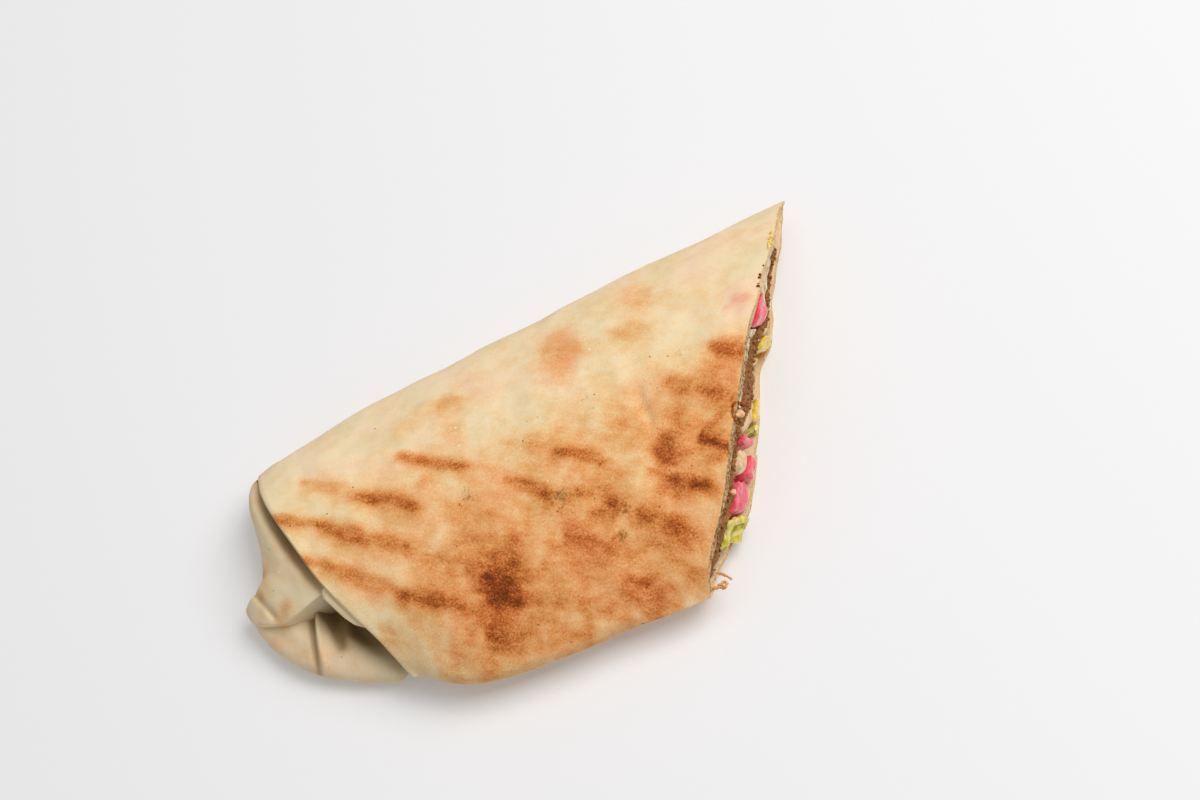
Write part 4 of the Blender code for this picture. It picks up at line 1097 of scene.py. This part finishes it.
def make_leaf(name, floor, roof, top, layers, start, proud, material):
    """A lettuce leaf folded to and fro between the bottom and top of its cell, with ruffles and ribs."""
    low, high = below_falafel(np.array([CUT_NEAR[0]]), np.array([(sum(floor) + sum(roof)) / 4]))
    room = float(high[0] - low[0]) * top
    hollow = hollow_y(np.zeros(2), np.array([1.0, -1.0]))
    width = (sum(roof) + sum(floor) - 2 * floor[0] - 2 * roof[0]) / 4 * float(hollow[0] - hollow[1])
    run, height = width - LEAF_THICKNESS, room - LEAF_THICKNESS - 2 * LEAF_WAVE

    def place(u, v, w):
        across, level, normal_across, normal_up = folded_line(u, run, height, layers)
        offset = LEAF_THICKNESS * (w - 0.5)
        rise = (level + normal_up * offset + LEAF_THICKNESS / 2 + LEAF_WAVE) / room
        share = cell_share(floor, roof, 0.5 + (across + normal_across * offset) / width, rise)
        along = towards_cut(v)
        wave = LEAF_WAVE * (np.sin(17 * v + 9 * u + layers) + 0.6 * np.sin(31 * v - 14 * u))
        ragged = 0.3 * MM * np.sin(11 * u + 3) + 0.08 * MM * np.sin(37 * u)
        reach = proud * (1 - LEAF_LEAN * rise) + ragged
        x, y, z = cell_point(below_falafel, start, reach, share, (rise + wave / room) * top, along)
        outside = ease((x - cut_x(y, z) - 0.5 * MM) / (1.6 * MM))
        return x, y + wave, z - LEAF_DROOP * outside * (1 - rise)

    leaf, (u, v, w) = model_slab(name, (30 * layers, 60, 2), place)
    leaf.data.materials.append(material)
    keep_attribute(leaf, "rib", ease((np.sin(u * layers * 15 + 2.5 * v) - 0.35) / 0.5) * 0.5)
    finish_piece(leaf, "lettuce", name)


def make_lumps(name, places, sizes, shade, values, material, slot):
    """One mesh of many small craggy lumps, at these places and of these half widths; shade is set on each."""
    bpy.ops.object.select_all(action="DESELECT")
    bpy.ops.mesh.primitive_ico_sphere_add(subdivisions=2, radius=1)
    thing = added(name)
    ball = read_points(thing)
    faces = np.array([list(face.vertices) for face in thing.data.polygons])
    draw = np.random.default_rng(LUMP_SEED)
    points, corners = [], []
    for number, (place, size) in enumerate(zip(places, sizes)):
        crags = 1 + 0.32 * relief(ball, 0.9, number)
        stretch = draw.uniform(0.7, 1.15, 3)
        points.append(np.asarray(place) + ball * stretch * crags[:, None] * size)
        corners.append(faces + number * len(ball))
    joined = np.concatenate(points)
    thing.data.clear_geometry()
    thing.data.from_pydata(joined.tolist(), [], np.concatenate(corners).tolist())
    put_points(thing, *joined.T)
    face_outwards()
    thing.data.materials.append(material)
    keep_attribute(thing, shade, np.repeat(values, len(ball)))
    finish_piece(thing, slot)


def on_cut(y, z, proud):
    """The place on the cut at y and z, or that far out of it."""
    return np.stack([cut_x(y, z) + proud, y, z], axis=-1)


def on_top(x, y):
    """The place on the bread's top at x and y, kept just inside the cut."""
    near, far = near_edge(x), far_edge(x)
    angle = np.arccos(np.array([(2 * y - near - far) / (far - near)]))
    inside = np.minimum(x, cut_point(angle, 0.0) - TOP_CRUMB_INSET)
    return np.ravel(roll_point(angle, inside, -bread_relief(angle, inside)))


def shred_places():
    """Places at short steps along the shreds, with the half width and the toasting of the lump at each."""
    places, sizes, toasts = [], [], []
    for line, size, toast in SHREDS:
        line = np.array(line) * MM
        for start, end in zip(line, line[1:]):
            for t in np.arange(0, 1, SHRED_STEP / np.linalg.norm(end - start)):
                places.append(start + (end - start) * t)
                sizes.append(size * MM * (1 + 0.3 * math.sin(2.9 * len(sizes))))
                toasts.append(toast)
    return places, sizes, toasts


def loose_crumbs():
    """Crumbs on the falafel's cut face, and dragged from it over the bread's edge."""
    draw = np.random.default_rng(LUMP_SEED)
    places, sizes = [], []
    for number in range(CRUMB_COUNT):
        share = np.array([draw.uniform(*CRUMB_REACH)])
        dragged = number % 3 == 0 and share[0] < DRAGGED_TO
        low, high = falafel_limits(np.array([CUT_FAR[0] / 2]), share)
        y = hollow_y(np.array([cut_x(hollow_y(0, share), high)]).ravel(), share)
        skin = roll_height(cut_x(y, high), y, 0.2 * MM)[1]
        lowest, highest = (high, skin) if dragged else (low, high)
        z = lowest + (highest - lowest) * draw.uniform(0, 1)
        size = draw.uniform(0.12, 0.22) if dragged else 0.18 + 0.35 * draw.uniform(0, 1) ** 2
        places.append(on_cut(y[0], z[0], 0.0 if dragged else -0.15 * MM))
        sizes.append(size * MM)
    return places, sizes


def make_crumbs(bread, falafel, pepper):
    """The crumbs and crisp shreds that are too small to be solids of their own."""
    places, sizes = loose_crumbs()
    crust = np.random.default_rng(LUMP_SEED).uniform(0.0, 1.0, len(places))
    make_lumps("falafel_crumbs", places, sizes, "crust", crust, falafel, "falafel")
    places, sizes, toasts = shred_places()
    make_lumps("bread_shreds", places, sizes, "toast", toasts, bread, "flatbread")
    single_lumps = (
        ("bread_bits", PALE_LUMPS, on_cut, "toast", PALE_LUMP_TOAST, bread, "flatbread"),
        ("burnt_crumbs", DARK_LUMPS, on_top, "toast", 1.0, bread, "flatbread"),
        ("pepper_crumbs", GOLD_LUMPS, on_top, "crust", 0.0, pepper, "pickled_pepper"),
    )
    for name, lumps, put, shade, value, material, slot in single_lumps:
        places = [put(*(np.array(place) * MM)) for place, _ in lumps]
        sizes = [size * MM for _, size in lumps]
        make_lumps(name, places, sizes, shade, np.full(len(lumps), value), material, slot)


def make_filling(bread):
    """Everything inside the roll; above and below say on which side of the falafel a piece lies."""
    falafel = fried_falafel()
    sauce = tahini()
    turnip = wet_vegetable(
        "pickled_turnip_flesh",
        ((0.30, "#D2303F"), (0.46, "#EA4458"), (0.60, "#EF5A6E"), (0.74, "#F27C8A")), 1.8, 0.35,
    )
    pepper = wet_vegetable(
        "pickled_pepper_flesh", ((0.32, "#D2A62E"), (0.5, "#EAC63F"), (0.68, "#F3DB68")), 1.6, 0.3
    )
    cabbage = wet_vegetable(
        "cabbage_flesh", ((0.32, "#BF8F54"), (0.5, "#DCB27C"), (0.68, "#EBD0A2")), 1.4, 0.3, 0.3
    )
    make_layer(
        "falafel", (180, 18, 12), FALAFEL_REACH, FALAFEL_REACH, falafel_limits, FILLING_START,
        (0.45 * MM, 0.4 * MM, 0.3 * MM), falafel, "falafel",
    )
    patches = (
        ("tahini_sauce_near", (-0.2, 0.298), (-0.2, 0.223)),
        ("tahini_sauce_far", (0.43, 0.8), (0.475, 0.8)),
    )
    for name, floor, roof in patches:
        make_layer(
            name, (60, 18, 8), floor, roof, above_falafel, FILLING_START + 4 * MM,
            (0.3 * MM, 0.2 * MM, 0.4 * MM), sauce, "tahini_sauce",
        )
    above, below = above_falafel, below_falafel
    # Each stick: its name, the shares of its two sides at its bottom and at its top, the levels that it fills
    # of the room above or below the falafel, where it starts and how far it stands out of the cut, in mm
    vegetables = (
        (turnip, "pickled_turnip", (
            ("pickled_turnip_upper", (0.31, 0.41), (0.235, 0.455), (0.0, 1.0), above, 5, 0.5),
            ("pickled_turnip_middle", (-0.29, -0.25), (-0.34, -0.295), (0.3, 1.0), below, -20, 0.8),
            ("pickled_turnip_lower", (-0.615, -0.475), (-0.675, -0.52), (0.0, 1.0), below, -10, 0.4),
            ("pickled_turnip_floor", (-0.462, -0.34), (-0.458, -0.335), (0.08, 0.42), below, -5, 1.2),
        )),
        (cabbage, "cabbage", (
            ("cabbage", (-0.455, -0.33), (-0.505, -0.375), (0.5, 1.0), below, -25, 0.5),
            ("cabbage_middle", (-0.232, -0.02), (-0.277, -0.035), (0.64, 1.0), below, -22, -0.2),
        )),
        (pepper, "pickled_pepper", (
            ("pickled_pepper_middle", (-0.105, 0.04), (-0.155, -0.01), (0.0, 0.58), below, -28, 0.6),
            ("pickled_pepper_far", (0.285, 0.37), (0.235, 0.305), (0.0, 1.0), below, -12, 1.0),
        )),
    )
    for material, slot, sticks in vegetables:
        for name, floor, roof, levels, limits, start, proud in sticks:
            make_stick(name, floor, roof, levels, limits, start * MM, proud * MM, material, slot)
    green = leaf_flesh("lettuce_leaf", ("#B0982C", "#CEC247", "#E4DC74"), "#EFE8A6")
    pale = leaf_flesh("lettuce_heart", ("#B98F52", "#D8B077", "#E6CB95"), "#EFDDB0")
    # Each leaf: its name, its sides as above, how much of the room it fills, its layers, where it starts and
    # how far it stands out of the cut, in mm
    leaves = (
        ("lettuce_near", (-0.83, -0.645), (-0.89, -0.70), 1.0, 2, -18, 2.6, green),
        ("lettuce_inner", (-0.235, -0.122), (-0.225, -0.172), 0.4, 2, -26, 0.2, green),
        ("lettuce_middle", (0.06, 0.265), (-0.015, 0.215), 1.0, 2, -24, -0.9, pale),
        ("lettuce_far", (0.39, 0.78), (0.325, 0.80), 1.0, 3, -30, -0.2, pale),
    )
    for name, floor, roof, top, layers, start, proud, material in leaves:
        make_leaf(name, floor, roof, top, layers, start * MM, proud * MM, material)
    make_crumbs(bread, falafel, pepper)


# The setting


def make_floor():
    """A plain pale table."""
    bpy.ops.object.select_all(action="DESELECT")
    bpy.ops.mesh.primitive_plane_add(size=6, location=(0, 0, -TABLE_GAP))
    floor = added("floor")
    material, _ = new_material(
        "pale_table", Base_Color=linear("#DADADB"), Roughness=0.9, Specular_IOR_Level=0.1,
        Emission_Color=linear("#FFFFFF"), Emission_Strength=0.15,
    )
    floor.data.materials.append(material)


def aim_light(name, direction, distance, size, energy, colour):
    """A square soft light that looks at the wrap from that direction."""
    lamp = bpy.data.lights.new(name, "AREA")
    lamp.size = size
    lamp.energy = energy
    lamp.color = linear(colour)[:3]
    holder = bpy.data.objects.new(name, lamp)
    holder.location = direction.normalized() * distance
    holder.rotation_euler = (-direction).to_track_quat("-Z", "Y").to_euler()
    bpy.context.scene.collection.objects.link(holder)


def make_lights():
    aim_light("window", Vector((0.55, 0.04, 0.80)), 1.3, 0.85, 12.6, "#FFFDFA")
    aim_light("ceiling", Vector((0.10, 0.08, 1.0)), 1.5, 1.4, 4.7, "#FFFFFF")
    world = bpy.data.worlds.new("studio")
    world.use_nodes = True
    sky = world.node_tree.nodes["Background"]
    sky.inputs["Color"].default_value = linear("#FBFBFF")
    sky.inputs["Strength"].default_value = 0.33
    bpy.context.scene.world = world


def make_camera():
    lens = bpy.data.cameras.new("camera")
    lens.lens = CAMERA_LENS
    lens.sensor_width = 36.0
    lens.clip_start = 0.01
    holder = bpy.data.objects.new("camera", lens)
    bpy.context.scene.collection.objects.link(holder)
    axes = Matrix((CAMERA_RIGHT, CAMERA_UP, CAMERA_BACK)).transposed().to_4x4()
    holder.matrix_world = Matrix.Translation(CAMERA_PLACE) @ axes
    bpy.context.scene.camera = holder
    bpy.context.scene.view_settings.view_transform = "Standard"


def main():
    make_camera()
    make_lights()
    make_floor()
    bread, crumb = toasted_bread(), bread_crumb()
    make_roll(bread, crumb)
    make_lower_lobe(bread)
    make_upper_lobe(bread)
    make_filling(bread)


main()
